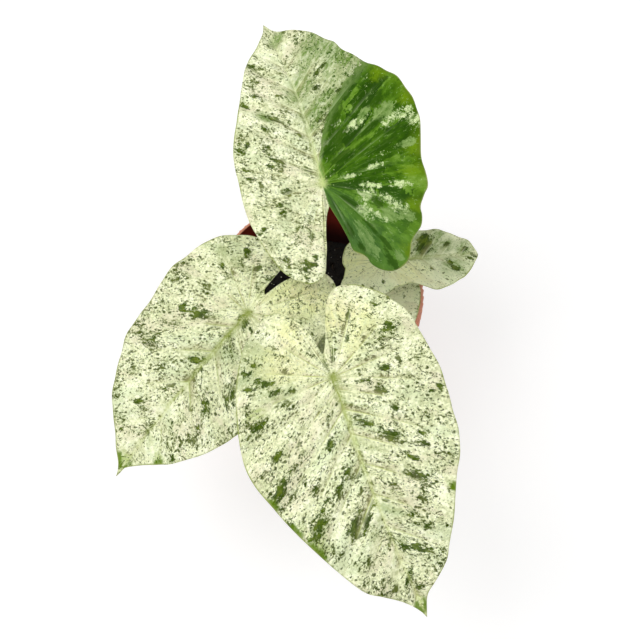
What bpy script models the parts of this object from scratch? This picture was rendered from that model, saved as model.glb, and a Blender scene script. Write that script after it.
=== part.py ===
"""Potted alocasia: a variegated elephant-ear plant in a ribbed plastic nursery pot.

Metres, +Z up. The origin is the middle of the pot's underside. The plant's widest leaf
reaches towards -Y, and the tallest stands towards +Y.

Each leaf is described flat, in millimetres: x across the blade, y along its midrib, the
stalk's seat at (0, 0) and the tip at (0, length). blade_point() bends that flat sheet into
its place: the halves fold and cup about the midrib, the blade droops along its length, and
the whole is turned by its roll, pitch and heading and set on top of its stalk.
"""

import math
from dataclasses import dataclass

import bmesh
import bpy
from mathutils import Matrix, Vector

MM = 0.001
GAP = 0.3  # mm between pieces that rest on each other

# Pot, in mm
POT_HEIGHT = 110.0
RIM_RADIUS = 62.5
LIP_WIDTH = 2.8
BAND_HEIGHT = 13.0
WALL = 1.5
FLOOR = 2.0
FOOT_RADIUS = 44.0
SHOULDER_RADIUS = 59.2
FOOT_ROUND = 2.0
POT_SEGMENTS = 64
SLOT_COUNT = 8
SLOT_RADIUS = 35.0
SLOT_LENGTH = 11.0
SLOT_WIDTH = 6.0

# Potting mix and crown, in mm
MIX_TOP = 74.0
MIX_DOME = 2.0
CROWN_RADIUS = 14.0
CROWN_SINK = 12.0
CROWN_TOP = 83.0
STALK_RING = 8.5

# Blades and stalks, in mm
BLADE_THICKNESS = 0.9
STALK_SIDES = 12
STALK_RINGS = 14
FAN_SHARE = 0.42  # share of the margin whose veins start at the stalk's seat


@dataclass(frozen=True)
class Leaf:
    """One leaf: its blade's flat outline, its pose and its stalk."""

    name: str
    seat: tuple  # top of the stalk, mm
    heading: float  # of the tip, degrees from +X towards +Y
    pitch: float  # of the midrib at the seat, degrees upwards
    roll: float  # degrees, right side down
    length: float  # seat to tip, mm
    notch: float  # seat to the notch between the lobes, mm
    left: tuple  # (x outwards, y) from the notch to the tip, mm
    right: tuple
    fold: tuple  # left and right half's rise at the midrib, degrees
    cup: tuple  # left and right half's curl downwards, degrees per mm
    droop: float  # of the blade ahead of the seat, degrees per mm
    lobe_droop: float  # behind the seat
    bow: float  # of the midrib to its right, mm
    stalk_angle: float  # of the stalk's foot round the crown, degrees
    stalk_radii: tuple  # at the foot and at the top, mm
    rows: int = 24
    columns: int = 5


LEAVES = (
    Leaf(
        name="back",
        seat=(2.4, 14, 200),
        heading=107.1,
        pitch=6,
        roll=-2,
        length=114.5,
        notch=13,
        left=((3.5, -19), (6.5, -27), (9, -37), (14, -48), (23, -51), (32, -44), (38, -33),
              (42, -19), (43, -1), (40.5, 25), (33.5, 44), (22.5, 72), (16.5, 85), (8, 96),
              (2.5, 106)),
        right=((1.5, -20), (3, -26), (4.5, -38), (8, -45), (15, -53), (25, -55), (34, -48),
               (42, -37), (45, -26), (52, -16), (54.5, 1), (60.5, 23), (60.5, 39), (51.5, 59),
               (36.5, 75), (32, 86), (24, 95.5), (11, 102.5), (3.5, 107)),
        fold=(16, 6),
        cup=(0.23, 0.17),
        droop=0.14,
        lobe_droop=0.23,
        bow=3,
        stalk_angle=100,
        stalk_radii=(4.4, 2.3),
    ),
    Leaf(
        name="left",
        seat=(-36, -44.6, 168),
        heading=227.6,
        pitch=-12,
        roll=0,
        length=109.6,
        notch=13,
        left=((1.4, -19.5), (3, -25.5), (5.6, -31), (13, -40), (23, -41), (33, -33), (40, -15),
              (43, 10), (42, 38), (36, 60), (23.5, 81), (16.5, 88), (8.5, 95), (1.5, 102.5),
              (0.7, 106)),
        right=((2, -15), (4, -20), (3.4, -25), (4, -31), (12, -37), (24, -35), (34, -28),
               (43, -15), (47, 2), (46, 18), (42, 50), (34, 68), (20, 87), (8, 98.5),
               (2.5, 104.5)),
        fold=(8, 8),
        cup=(0.17, 0.17),
        droop=0.17,
        lobe_droop=0.29,
        bow=0,
        stalk_angle=195,
        stalk_radii=(4.3, 2.2),
    ),
    Leaf(
        name="front",
        seat=(7.6, -93.8, 199),
        heading=293.7,
        pitch=-14,
        roll=0,
        length=122.7,
        notch=12,
        left=((1.2, -13.5), (4.2, -19), (7.9, -28), (12, -35.5), (18, -39.5), (24.5, -39),
              (33, -34.5), (40.5, -24.5), (46.5, -9.5), (48.5, 20), (44, 49), (32, 73), (21, 95),
              (16, 101.5), (8, 107.5), (3.6, 112.5)),
        right=((0.6, -14), (1.3, -20), (4, -29.5), (8.6, -35), (16, -39.5), (27, -34),
               (39.5, -20.7), (49.5, 0.5), (54.5, 25.5), (49, 46.5), (40, 68.5), (26, 95),
               (16.6, 103.6), (7.2, 111.8), (2.2, 118)),
        fold=(8, 8),
        cup=(0.17, 0.17),
        droop=0.18,
        lobe_droop=0.34,
        bow=3.3,
        stalk_angle=262,
        stalk_radii=(4.4, 2.4),
    ),
    Leaf(
        name="small",
        seat=(38.3, 5.9, 134),
        heading=7,
        pitch=6,
        roll=-14,
        length=54,
        notch=23,
        left=((4, -24), (11, -22.5), (17.5, -19), (22, -9), (20, 6), (18, 22), (17, 34),
              (11, 47.5), (3.5, 52.5)),
        right=((7, -24.5), (14, -26.5), (23, -20), (28, -7), (22, 4), (21, 12), (26.5, 23),
               (26, 31), (22, 38), (14, 46), (5, 51.5)),
        fold=(8, 6),
        cup=(0.17, 0.17),
        droop=0.3,
        lobe_droop=0.34,
        bow=2,
        stalk_angle=30,
        stalk_radii=(3.1, 1.6),
        rows=18,
        columns=4,
    ),
    Leaf(
        name="old",
        seat=(38.2, -4.9, 106),
        heading=-82,
        pitch=-1,
        roll=12,
        length=32,
        notch=3,
        left=((3, -8), (8, -15), (14, -17), (20, -11), (21.2, -1), (20, 6), (18, 11.5),
              (15.7, 16.5), (12.8, 21.5), (8.5, 27)),
        right=((3, -8), (7, -14), (12, -14), (17, -7), (18, 2), (16, 13), (11, 22), (5, 29)),
        fold=(6, 8),
        cup=(0.1, 0.1),
        droop=0.2,
        lobe_droop=0.2,
        bow=0,
        stalk_angle=328,
        stalk_radii=(2.5, 1.3),
        rows=18,
        columns=4,
    ),
)


def clear_scene():
    """Remove every object."""
    for obj in list(bpy.data.objects):
        bpy.data.objects.remove(obj, do_unlink=True)


def material(name, colour, roughness):
    """A plain Principled material."""
    made = bpy.data.materials.new(name)
    made.use_nodes = True
    shader = made.node_tree.nodes["Principled BSDF"]
    shader.inputs["Base Color"].default_value = (*colour, 1.0)
    shader.inputs["Roughness"].default_value = roughness
    shader.inputs["Metallic"].default_value = 0.0
    return made


def add_object(name, mesh_builder, surface):
    """Turn a bmesh given in millimetres into a named object in metres."""
    bmesh.ops.scale(mesh_builder, vec=(MM, MM, MM), verts=mesh_builder.verts)
    mesh = bpy.data.meshes.new(name)
    mesh_builder.to_mesh(mesh)
    mesh_builder.free()
    mesh.shade_smooth()
    mesh.set_sharp_from_angle(angle=math.radians(35))
    mesh.materials.append(surface)
    obj = bpy.data.objects.new(name, mesh)
    bpy.context.collection.objects.link(obj)
    return obj


def turned(profile, segments):
    """A closed solid turned about Z from (radius, z) points; the ends lie on the axis."""
    builder = bmesh.new()
    rings = []
    for radius, z in profile:
        if radius == 0:
            rings.append([builder.verts.new((0, 0, z))])
            continue
        angles = (2 * math.pi * k / segments for k in range(segments))
        rings.append([builder.verts.new((radius * math.cos(a), radius * math.sin(a), z)) for a in angles])
    for low, high in zip(rings, rings[1:]):
        for k in range(segments):
            after = k + 1
            corners = (low[k % len(low)], low[after % len(low)], high[after % len(high)], high[k % len(high)])
            builder.faces.new(list(dict.fromkeys(corners)))
    bmesh.ops.recalc_face_normals(builder, faces=builder.faces)
    return builder


def outer_radius(z):
    """Radius of the pot's outer wall, below the band."""
    return FOOT_RADIUS + (SHOULDER_RADIUS - FOOT_RADIUS) * z / (POT_HEIGHT - BAND_HEIGHT)


def inner_radius(z):
    """Radius of the pot's inner wall, below the band."""
    return outer_radius(z) - WALL


def quarter_round(centre_r, centre_z, radius, start, steps=3):
    """Points of a quarter circle in a profile, from start degrees, turning left."""
    angles = (math.radians(start + 90 * k / steps) for k in range(steps + 1))
    return [(centre_r + radius * math.cos(a), centre_z + radius * math.sin(a)) for a in angles]


def make_pot(surface):
    """The pot: a tapered wall, a thicker band round the rim and slots in the floor."""
    band_low = POT_HEIGHT - BAND_HEIGHT
    lip_round = 1.0
    lip_inner = RIM_RADIUS - LIP_WIDTH
    profile = [(0, 0)]
    profile += quarter_round(outer_radius(FOOT_ROUND) - FOOT_ROUND, FOOT_ROUND, FOOT_ROUND, -90)
    profile += [
        (outer_radius(band_low / 2), band_low / 2),
        (outer_radius(band_low), band_low),
        (RIM_RADIUS - 0.4, band_low + 0.8),
    ]
    profile += quarter_round(RIM_RADIUS - lip_round, POT_HEIGHT - lip_round, lip_round, 0)
    profile += [
        (lip_inner + 0.4, POT_HEIGHT),
        (lip_inner, POT_HEIGHT - 0.4),
        (lip_inner - 0.4, band_low + 1.5),
        (inner_radius(band_low - 1.5), band_low - 1.5),
        (inner_radius(band_low / 2), band_low / 2),
        (inner_radius(FLOOR + 2), FLOOR + 2),
        (inner_radius(FLOOR) - 2, FLOOR),
        (0, FLOOR),
    ]
    pot = add_object("pot", turned(profile, POT_SEGMENTS), surface)
    cutter = add_object("slot_cutter", slot_shapes(), surface)
    cutter.hide_render = True
    cutter.display_type = "WIRE"
    cut = pot.modifiers.new("slots", "BOOLEAN")
    cut.operation = "DIFFERENCE"
    cut.object = cutter
    return pot


def slot_shapes():
    """The ring of upright round-ended bars that cuts the drainage slots."""
    builder = bmesh.new()
    end_steps = 5
    for k in range(SLOT_COUNT):
        turn = Matrix.Rotation(2 * math.pi * (k + 0.5) / SLOT_COUNT, 3, "Z")
        outline = []
        for end in (1, -1):
            for step in range(end_steps + 1):
                angle = math.pi * step / end_steps + (0 if end > 0 else math.pi)
                x = SLOT_RADIUS + SLOT_WIDTH / 2 * math.cos(angle)
                y = end * (SLOT_LENGTH - SLOT_WIDTH) / 2 + SLOT_WIDTH / 2 * math.sin(angle)
                outline.append((x, y))
        low = [builder.verts.new(turn @ Vector((x, y, -FLOOR))) for x, y in outline]
        high = [builder.verts.new(turn @ Vector((x, y, 2 * FLOOR))) for x, y in outline]
        builder.faces.new(reversed(low))
        builder.faces.new(high)
        for j in range(len(outline)):
            after = (j + 1) % len(outline)
            builder.faces.new((low[j], low[after], high[after], high[j]))
    return builder


def make_potting_mix(surface):
    """The mix that fills the pot, slightly domed, with a socket for the crown."""
    low = FLOOR + GAP
    socket = CROWN_RADIUS + GAP
    top_radius = inner_radius(MIX_TOP) - GAP
    profile = [
        (0, low),
        (inner_radius(FLOOR) - 2 - GAP, low),
        (inner_radius(FLOOR + 2) - GAP, FLOOR + 2),
        (inner_radius(MIX_TOP / 2) - GAP, MIX_TOP / 2),
        (top_radius, MIX_TOP),
        (0.75 * top_radius, MIX_TOP + 0.5 * MIX_DOME),
        (0.5 * top_radius, MIX_TOP + 0.85 * MIX_DOME),
        (socket, MIX_TOP + MIX_DOME),
        (socket, MIX_TOP - CROWN_SINK),
        (0, MIX_TOP - CROWN_SINK),
    ]
    return add_object("potting_mix", turned(profile, 48), surface)


def make_crown(surface):
    """The plant's short stem, set in the mix, flat on top where the stalks start."""
    profile = [
        (0, MIX_TOP - CROWN_SINK + GAP),
        (CROWN_RADIUS, MIX_TOP - CROWN_SINK + GAP),
        (CROWN_RADIUS, MIX_TOP + MIX_DOME),
        (CROWN_RADIUS - 0.3, CROWN_TOP - 2),
        (CROWN_RADIUS - 1, CROWN_TOP),
        (0, CROWN_TOP),
    ]
    return add_object("crown", turned(profile, 32), surface)


def blade_point(leaf, x, y):
    """Where the flat blade's point (x, y) lies on the bent blade's upper face, in mm.

    Across, each half is an arc that leaves the midrib at its fold angle and curls down;
    along, the midrib is an arc that droops away from the seat in both directions.
    """
    bow = midrib_bow(leaf, y)
    side = 1 if x >= bow else 0
    across = abs(x - bow)
    fold = math.radians(leaf.fold[side])
    cup = math.radians(leaf.cup[side])
    out = (math.sin(fold) - math.sin(fold - cup * across)) / cup
    rise = (math.cos(fold - cup * across) - math.cos(fold)) / cup
    droop = math.radians(leaf.droop if y >= 0 else leaf.lobe_droop)
    turn = droop * y
    along = math.sin(turn) / droop + math.sin(turn) * rise
    height = -(1 - math.cos(turn)) / droop + math.cos(turn) * rise
    return pose(leaf) @ Vector((bow + (out if side else -out), along, height))


def midrib_bow(leaf, y):
    """How far the midrib lies to the right of the straight line from seat to tip."""
    return leaf.bow * math.sin(math.pi * y / leaf.length) if y > 0 else 0.0


def pose(leaf):
    """The turn and place of a blade whose midrib runs along +Y at its seat."""
    turn = (
        Matrix.Rotation(math.radians(leaf.heading - 90), 4, "Z")
        @ Matrix.Rotation(math.radians(leaf.pitch), 4, "X")
        @ Matrix.Rotation(math.radians(leaf.roll), 4, "Y")
    )
    return Matrix.Translation(leaf.seat) @ turn


def smooth_line(points, count):
    """count + 1 points evenly spaced along a Catmull-Rom curve through the points."""
    line = [Vector(p) for p in points]
    ends = [2 * line[0] - line[1]] + line + [2 * line[-1] - line[-2]]
    fine = []
    for p0, p1, p2, p3 in zip(ends, ends[1:], ends[2:], ends[3:]):
        for k in range(12):
            t = k / 12
            square = 2 * p0 - 5 * p1 + 4 * p2 - p3
            cube = 3 * p1 - 3 * p2 + p3 - p0
            fine.append(0.5 * (2 * p1 + (p2 - p0) * t + square * t**2 + cube * t**3))
    fine.append(line[-1])
    lengths = [0.0]
    for a, b in zip(fine, fine[1:]):
        lengths.append(lengths[-1] + (b - a).length)
    result = []
    k = 0
    for step in range(count + 1):
        target = lengths[-1] * step / count
        while k < len(fine) - 2 and lengths[k + 1] < target:
            k += 1
        share = (target - lengths[k]) / (lengths[k + 1] - lengths[k])
        result.append(fine[k].lerp(fine[k + 1], share))
    return result


def make_blade(leaf, surface):
    """The blade: a sheet of rows that run from the midrib to the margin, made solid.

    The first rows fan out from the seat into the lobe, as its veins do, and the others
    start further and further along the midrib.
    """
    builder = bmesh.new()
    fan_rows = round(FAN_SHARE * leaf.rows)
    midrib = [
        leaf.length * max(0, row - fan_rows) / (leaf.rows - fan_rows) for row in range(leaf.rows + 1)
    ]
    seat = builder.verts.new(blade_point(leaf, 0, 0))
    spine = [seat] * (fan_rows + 1)
    spine += [builder.verts.new(blade_point(leaf, midrib_bow(leaf, y), y)) for y in midrib[fan_rows + 1 :]]
    sinus = [
        builder.verts.new(blade_point(leaf, 0, -leaf.notch * c / leaf.columns))
        for c in range(1, leaf.columns + 1)
    ]
    for sign, outline in ((-1, leaf.left), (1, leaf.right)):
        margin = smooth_line([(0, -leaf.notch), *outline, (0, leaf.length)], leaf.rows)
        grid = [[seat, *sinus]]
        for row in range(1, leaf.rows):
            start = Vector((midrib_bow(leaf, midrib[row]), midrib[row]))
            end = Vector((sign * margin[row].x, margin[row].y))
            line = [spine[row]]
            for c in range(1, leaf.columns + 1):
                flat = start.lerp(end, c / leaf.columns)
                line.append(builder.verts.new(blade_point(leaf, flat.x, flat.y)))
            grid.append(line)
        grid.append([spine[-1]] * (leaf.columns + 1))
        for low, high in zip(grid, grid[1:]):
            for c in range(leaf.columns):
                corners = list(dict.fromkeys([low[c], low[c + 1], high[c + 1], high[c]]))
                if sign < 0:
                    corners.reverse()
                builder.faces.new(corners)
    blade = add_object(f"blade_{leaf.name}", builder, surface)
    thick = blade.modifiers.new("thickness", "SOLIDIFY")
    thick.thickness = BLADE_THICKNESS * MM
    thick.offset = -1
    return blade


def make_stalk(leaf, surface):
    """The leaf stalk: a tapered stem from the crown to just under its blade's seat."""
    angle = math.radians(leaf.stalk_angle)
    foot = Vector((STALK_RING * math.cos(angle), STALK_RING * math.sin(angle), CROWN_TOP + GAP))
    normal = (pose(leaf).to_3x3() @ Vector((0, 0, 1))).normalized()
    top = Vector(leaf.seat) - normal * (BLADE_THICKNESS + GAP)
    reach = (top - foot).length
    controls = (foot, foot + Vector((0, 0, 0.42 * reach)), top - normal * 0.22 * reach, top)
    builder = bmesh.new()
    rings = []
    for ring in range(STALK_RINGS + 1):
        t = ring / STALK_RINGS
        centre = bezier(controls, t)
        ahead = bezier_direction(controls, t)
        radius = leaf.stalk_radii[0] + (leaf.stalk_radii[1] - leaf.stalk_radii[0]) * t**0.8
        across = ahead.cross(Vector((0, 1, 0))).normalized()
        beside = ahead.cross(across)
        loop = []
        for side in range(STALK_SIDES):
            around = 2 * math.pi * side / STALK_SIDES
            spoke = math.cos(around) * across + math.sin(around) * beside
            loop.append(builder.verts.new(centre + radius * spoke))
        rings.append(loop)
    bmesh.ops.bridge_loops(builder, edges=ring_edges(builder, rings))
    builder.faces.new(rings[0])
    builder.faces.new(rings[-1])
    bmesh.ops.recalc_face_normals(builder, faces=builder.faces)
    return add_object(f"stalk_{leaf.name}", builder, surface)


def ring_edges(builder, rings):
    """Close each list of vertices into a loop of edges."""
    return [builder.edges.new((a, b)) for loop in rings for a, b in zip(loop, loop[1:] + loop[:1])]


def bezier(controls, t):
    """A point of a cubic Bezier curve."""
    a, b, c, d = controls
    s = 1 - t
    return s**3 * a + 3 * s * s * t * b + 3 * s * t * t * c + t**3 * d


def bezier_direction(controls, t):
    """The unit direction of a cubic Bezier curve."""
    a, b, c, d = controls
    s = 1 - t
    return (s * s * (b - a) + 2 * s * t * (c - b) + t * t * (d - c)).normalized()


def main():
    """Build every piece."""
    clear_scene()
    plastic = material("terracotta_plastic", (0.50, 0.19, 0.12), 0.55)
    mix = material("potting_mix", (0.02, 0.015, 0.012), 0.95)
    stem = material("stem", (0.40, 0.52, 0.18), 0.45)
    variegated = material("variegated_leaf", (0.72, 0.80, 0.50), 0.45)
    make_pot(plastic)
    make_potting_mix(mix)
    make_crown(stem)
    for leaf in LEAVES:
        make_stalk(leaf, stem)
        make_blade(leaf, variegated)


main()
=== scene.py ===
"""A potted alocasia: pale flecked leaves on their stalks, the crown, the mix and a ribbed pot."""

import logging
import math
from dataclasses import dataclass, field, replace
from enum import Enum
from typing import Any, Sequence

import bmesh
import bpy
import numpy as np
from mathutils import Matrix, Vector


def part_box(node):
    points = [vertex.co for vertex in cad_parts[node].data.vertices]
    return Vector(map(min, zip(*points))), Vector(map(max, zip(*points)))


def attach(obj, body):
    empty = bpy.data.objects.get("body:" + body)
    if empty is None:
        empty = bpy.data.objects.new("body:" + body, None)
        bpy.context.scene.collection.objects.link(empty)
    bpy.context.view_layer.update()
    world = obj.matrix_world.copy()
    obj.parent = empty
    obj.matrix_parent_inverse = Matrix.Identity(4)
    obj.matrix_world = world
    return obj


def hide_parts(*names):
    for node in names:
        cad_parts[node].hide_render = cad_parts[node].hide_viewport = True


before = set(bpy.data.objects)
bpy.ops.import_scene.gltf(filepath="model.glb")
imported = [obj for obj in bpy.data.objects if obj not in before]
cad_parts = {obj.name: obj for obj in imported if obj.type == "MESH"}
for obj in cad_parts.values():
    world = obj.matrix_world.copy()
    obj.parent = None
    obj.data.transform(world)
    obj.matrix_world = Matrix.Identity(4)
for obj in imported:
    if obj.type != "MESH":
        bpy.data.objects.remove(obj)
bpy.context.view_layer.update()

MM = 0.001
UV_UNIT = 100.0  # a UV of 1 is this many millimetres on the blade
BODY = "root"
EDGE = "edge"  # the field that holds each point's distance from the margin, in millimetres
LOG = logging.getLogger("alocasia")

Colour = tuple[float, float, float, float]
Point2 = tuple[float, float]
Socket = bpy.types.NodeSocket
Half = dict[str, np.ndarray]  # one half of a blade laid flat
Mark = tuple[float, float, float, float]  # across, ahead, and half its size along and across


def tint(red: int, green: int, blue: int) -> Colour:
    """Turn a colour as it is seen into a linear one.

    Args:
        red: The red, 0 to 255.
        green: The green, 0 to 255.
        blue: The blue, 0 to 255.

    Returns:
        The linear colour, opaque.
    """
    linear = []
    for value in (red, green, blue):
        share = value / 255
        linear.append(share / 12.92 if share <= 0.04045 else ((share + 0.055) / 1.055) ** 2.4)
    return (*linear, 1.0)


def smoothstep(value: np.ndarray, low: float, high: float) -> np.ndarray:
    """Ease an array from 0 at low to 1 at high."""
    share = np.clip((value - low) / (high - low), 0, 1)
    return share * share * (3 - 2 * share)


def smooth_line(points: Sequence[Point2], count: int) -> np.ndarray:
    """Points evenly spaced along a Catmull-Rom curve.

    Args:
        points: The points that the curve passes through.
        count: The number of steps along it.

    Returns:
        An array of count + 1 points.
    """
    line = np.array(points, float)
    ends = np.vstack([2 * line[0] - line[1], line, 2 * line[-1] - line[-2]])
    share = np.linspace(0, 1, 12, endpoint=False)[:, None]
    fine = []
    for p0, p1, p2, p3 in zip(ends, ends[1:], ends[2:], ends[3:]):
        square = 2 * p0 - 5 * p1 + 4 * p2 - p3
        cube = 3 * p1 - 3 * p2 + p3 - p0
        fine.append(0.5 * (2 * p1 + (p2 - p0) * share + square * share**2 + cube * share**3))
    track = np.vstack([*fine, line[-1]])
    walked = np.concatenate([[0], np.cumsum(np.linalg.norm(np.diff(track, axis=0), axis=1))])
    stops = np.linspace(0, walked[-1], count + 1)
    return np.stack([np.interp(stops, walked, track[:, k]) for k in (0, 1)], axis=1)


class Nodes:
    """Lays nodes into one tree."""

    def __init__(self, tree: bpy.types.NodeTree) -> None:
        """Take up a tree."""
        self.tree = tree

    def node(
        self, kind: str, inputs: dict[Any, Any] | None = None, **settings: Any
    ) -> bpy.types.Node:
        """Add a node.

        Args:
            kind: The node's type.
            inputs: Values or sockets, by the input's name or number.
            **settings: Properties of the node itself.

        Returns:
            The new node.
        """
        made = self.tree.nodes.new(kind)
        for key, value in settings.items():
            setattr(made, key, value)
        for key, value in (inputs or {}).items():
            self.plug(made.inputs[key], value)
        return made

    def plug(self, socket: Socket, value: Any) -> None:
        """Link a socket to another, or set its value.

        Args:
            socket: The input.
            value: The output to link to it, or its value.
        """
        if isinstance(value, Socket):
            self.tree.links.new(value, socket)
        else:
            socket.default_value = value

    def first(self, kind: str, inputs: dict[Any, Any] | None = None, **settings: Any) -> Socket:
        """Add a node and return its first output."""
        return self.node(kind, inputs, **settings).outputs[0]

    def maths(self, operation: str, first: Any, second: Any = 0.0, clamp: bool = False) -> Socket:
        """One step of arithmetic."""
        inputs = {0: first, 1: second}
        return self.first("ShaderNodeMath", inputs, operation=operation, use_clamp=clamp)


class Paint(Nodes):
    """Lays nodes into one material, so that a finish reads as a short list of layers."""

    OFF_LEVEL = 0.137  # lifts the noise off its own lattice, where it would be even
    MOST_LIKELY = 0.45  # the largest share of the cells that may hold a dot

    def __init__(self, name: str) -> None:
        """Start a material with one shader.

        Args:
            name: The material's name.
        """
        self.material = bpy.data.materials.new(name)
        self.material.use_nodes = True
        super().__init__(self.material.node_tree)
        self.shader = self.tree.nodes["Principled BSDF"]

    def uv(self, layer: str) -> Socket:
        """A UV layer of the piece."""
        return self.node("ShaderNodeUVMap", uv_map=layer).outputs["UV"]

    def place(self) -> Socket:
        """The piece's own coordinates, in metres."""
        return self.node("ShaderNodeTexCoord").outputs["Object"]

    def field(self, name: str) -> Socket:
        """A number kept on the piece's points."""
        return self.node("ShaderNodeAttribute", attribute_name=name).outputs["Fac"]

    def parts(self, vector: Socket) -> Sequence[Socket]:
        """A vector's three numbers."""
        return self.node("ShaderNodeSeparateXYZ", {"Vector": vector}).outputs[:]

    def length(self, vector: Socket) -> Socket:
        """A vector's length."""
        return self.node("ShaderNodeVectorMath", {0: vector}, operation="LENGTH").outputs["Value"]

    def stretched(
        self, vector: Socket, scale: Sequence[float], shift: Sequence[float] = (0, 0, 0)
    ) -> Socket:
        """A vector scaled along each axis, then shifted."""
        inputs = {"Vector": vector, "Scale": scale, "Location": shift}
        return self.node("ShaderNodeMapping", inputs).outputs["Vector"]

    def noise(
        self,
        vector: Socket,
        scale: float,
        detail: float = 2,
        rough: float = 0.5,
        bend: float = 0,
    ) -> Socket:
        """Cloudy noise.

        Args:
            vector: Where it is read.
            scale: Lumps for each unit of the vector.
            detail: How many finer layers it has.
            rough: How strong the finer layers are.
            bend: How far its lumps are swirled.

        Returns:
            A number around 0.5.
        """
        raised = self.first("ShaderNodeVectorMath", {0: vector, 1: (0, 0, self.OFF_LEVEL)})
        inputs = {"Vector": raised, "Scale": scale, "Detail": detail, "Roughness": rough}
        inputs["Distortion"] = bend
        return self.node("ShaderNodeTexNoise", inputs).outputs["Fac"]

    def dots(self, vector: Socket, size: float, likely: Any, most: float = 0.42) -> Socket:
        """Separate ragged dots, at most one to a cell.

        Args:
            vector: Where they are read.
            size: The width of a cell, in the vector's own units.
            likely: The share of the cells that hold a dot.
            most: The largest dot's radius, as a share of its cell.

        Returns:
            One inside a dot and zero outside.
        """
        vector = self.first("ShaderNodeVectorMath", {0: vector, 1: (0, 0, 0.31 * size)})
        ragged = {"Vector": vector, "Scale": 2.2 / size, "Detail": 3, "Roughness": 0.7}
        ragged = self.node("ShaderNodeTexNoise", ragged).outputs["Color"]
        inputs = {0: ragged, 1: (0.9 * size,) * 3, 2: vector}
        stirred = self.first("ShaderNodeVectorMath", inputs, operation="MULTIPLY_ADD")
        cells = self.node("ShaderNodeTexVoronoi", {"Vector": stirred, "Scale": 1 / size}).outputs
        pick = self.node("ShaderNodeSeparateColor", {0: cells["Color"]}).outputs
        radius = self.between(pick["Green"], 0, 1, 0.3 * most, most)
        gap = self.maths("SUBTRACT", cells["Distance"], radius)
        held = self.add(pick["Red"], self.maths("MINIMUM", likely, self.MOST_LIKELY))
        return self.times(self.between(held, 1.0, 1.02), self.between(gap, 0.06, -0.04))

    def add(self, first: Any, second: Any) -> Socket:
        """The sum of two values."""
        return self.maths("ADD", first, second)

    def times(self, first: Any, second: Any) -> Socket:
        """The product of two values."""
        return self.maths("MULTIPLY", first, second)

    def product(self, first: Any, *others: Any) -> Any:
        """The product of several values.

        Args:
            first: The first of them.
            *others: The rest.

        Returns:
            Their product.
        """
        for other in others:
            first = self.times(first, other)
        return first

    def swing(self, value: Any, reach: float) -> Socket:
        """A value around 0.5, such as a noise, turned into one around zero and scaled."""
        return self.times(self.add(value, -0.5), reach)

    def frayed(self, value: Any, rag: Any, reach: Any) -> Socket:
        """A value with a ragged one, around zero, laid over it to some reach."""
        return self.add(value, self.times(rag, reach))

    def inverse(self, value: Any) -> Socket:
        """One less the value, never below zero."""
        return self.maths("SUBTRACT", 1.0, value, clamp=True)

    def mixed(self, share: Any, first: Any, second: Any) -> Socket:
        """Blend two values."""
        return self.first("ShaderNodeMix", {0: share, 2: first, 3: second})

    def between(
        self, value: Any, low: Any, high: Any, start: float = 0.0, end: float = 1.0
    ) -> Socket:
        """Ease a value from start at low to end at high.

        Args:
            value: The value that is read.
            low: Where the easing begins.
            high: Where it is done; it may be below low.
            start: The result at low and before it.
            end: The result at high and beyond it.

        Returns:
            The eased value.
        """
        inputs = {"Value": value, "From Min": low, "From Max": high, "To Min": start, "To Max": end}
        made = self.node("ShaderNodeMapRange", inputs, interpolation_type="SMOOTHSTEP")
        return made.outputs["Result"]

    def mix(self, share: Any, first: Any, second: Any) -> Socket:
        """Blend two colours."""
        made = self.node("ShaderNodeMix", {0: share, 6: first, 7: second}, data_type="RGBA")
        return made.outputs[2]

    def over(
        self, colour: Any, shade: Any, value: Any, low: float, high: float, most: float = 1.0
    ) -> Socket:
        """Lay one colour over another where a value is past a level.

        Args:
            colour: The colour below.
            shade: The colour laid over it.
            value: The value that is read.
            low: Where the shade begins to show.
            high: Where it shows the most.
            most: How strongly it shows there.

        Returns:
            The blended colour.
        """
        return self.mix(self.between(value, low, high, 0, most), colour, shade)

    def ramp(self, value: Socket, stops: Sequence[tuple[float, Colour]]) -> Socket:
        """Read a value through a row of colours.

        Args:
            value: The value that is read.
            stops: The colours, each after its place.

        Returns:
            The colour.
        """
        made = self.node("ShaderNodeValToRGB", {"Fac": value})
        band = made.color_ramp.elements
        while len(band) < len(stops):
            band.new(0.5)
        for element, (place, colour) in zip(band, stops):
            element.position, element.color = place, colour
        return made.outputs["Color"]

    def bump(self, height: Socket, distance: float) -> None:
        """Give the shader a fine relief.

        Args:
            height: The relief, 0 to 1.
            distance: Its full height, in metres.
        """
        inputs = {"Height": height, "Distance": distance, "Strength": 1.0}
        normal = self.node("ShaderNodeBump", inputs).outputs["Normal"]
        self.plug(self.shader.inputs["Normal"], normal)

    def finish(self, colour: Any, roughness: Any, **values: float) -> bpy.types.Material:
        """Finish the shader.

        Args:
            colour: Its base colour.
            roughness: Its roughness.
            **values: Its other inputs, with underscores for spaces.

        Returns:
            The material.
        """
        self.plug(self.shader.inputs["Base Color"], colour)
        self.plug(self.shader.inputs["Roughness"], roughness)
        for name, value in values.items():
            self.shader.inputs[name.replace("_", " ")].default_value = value
        return self.material


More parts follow.
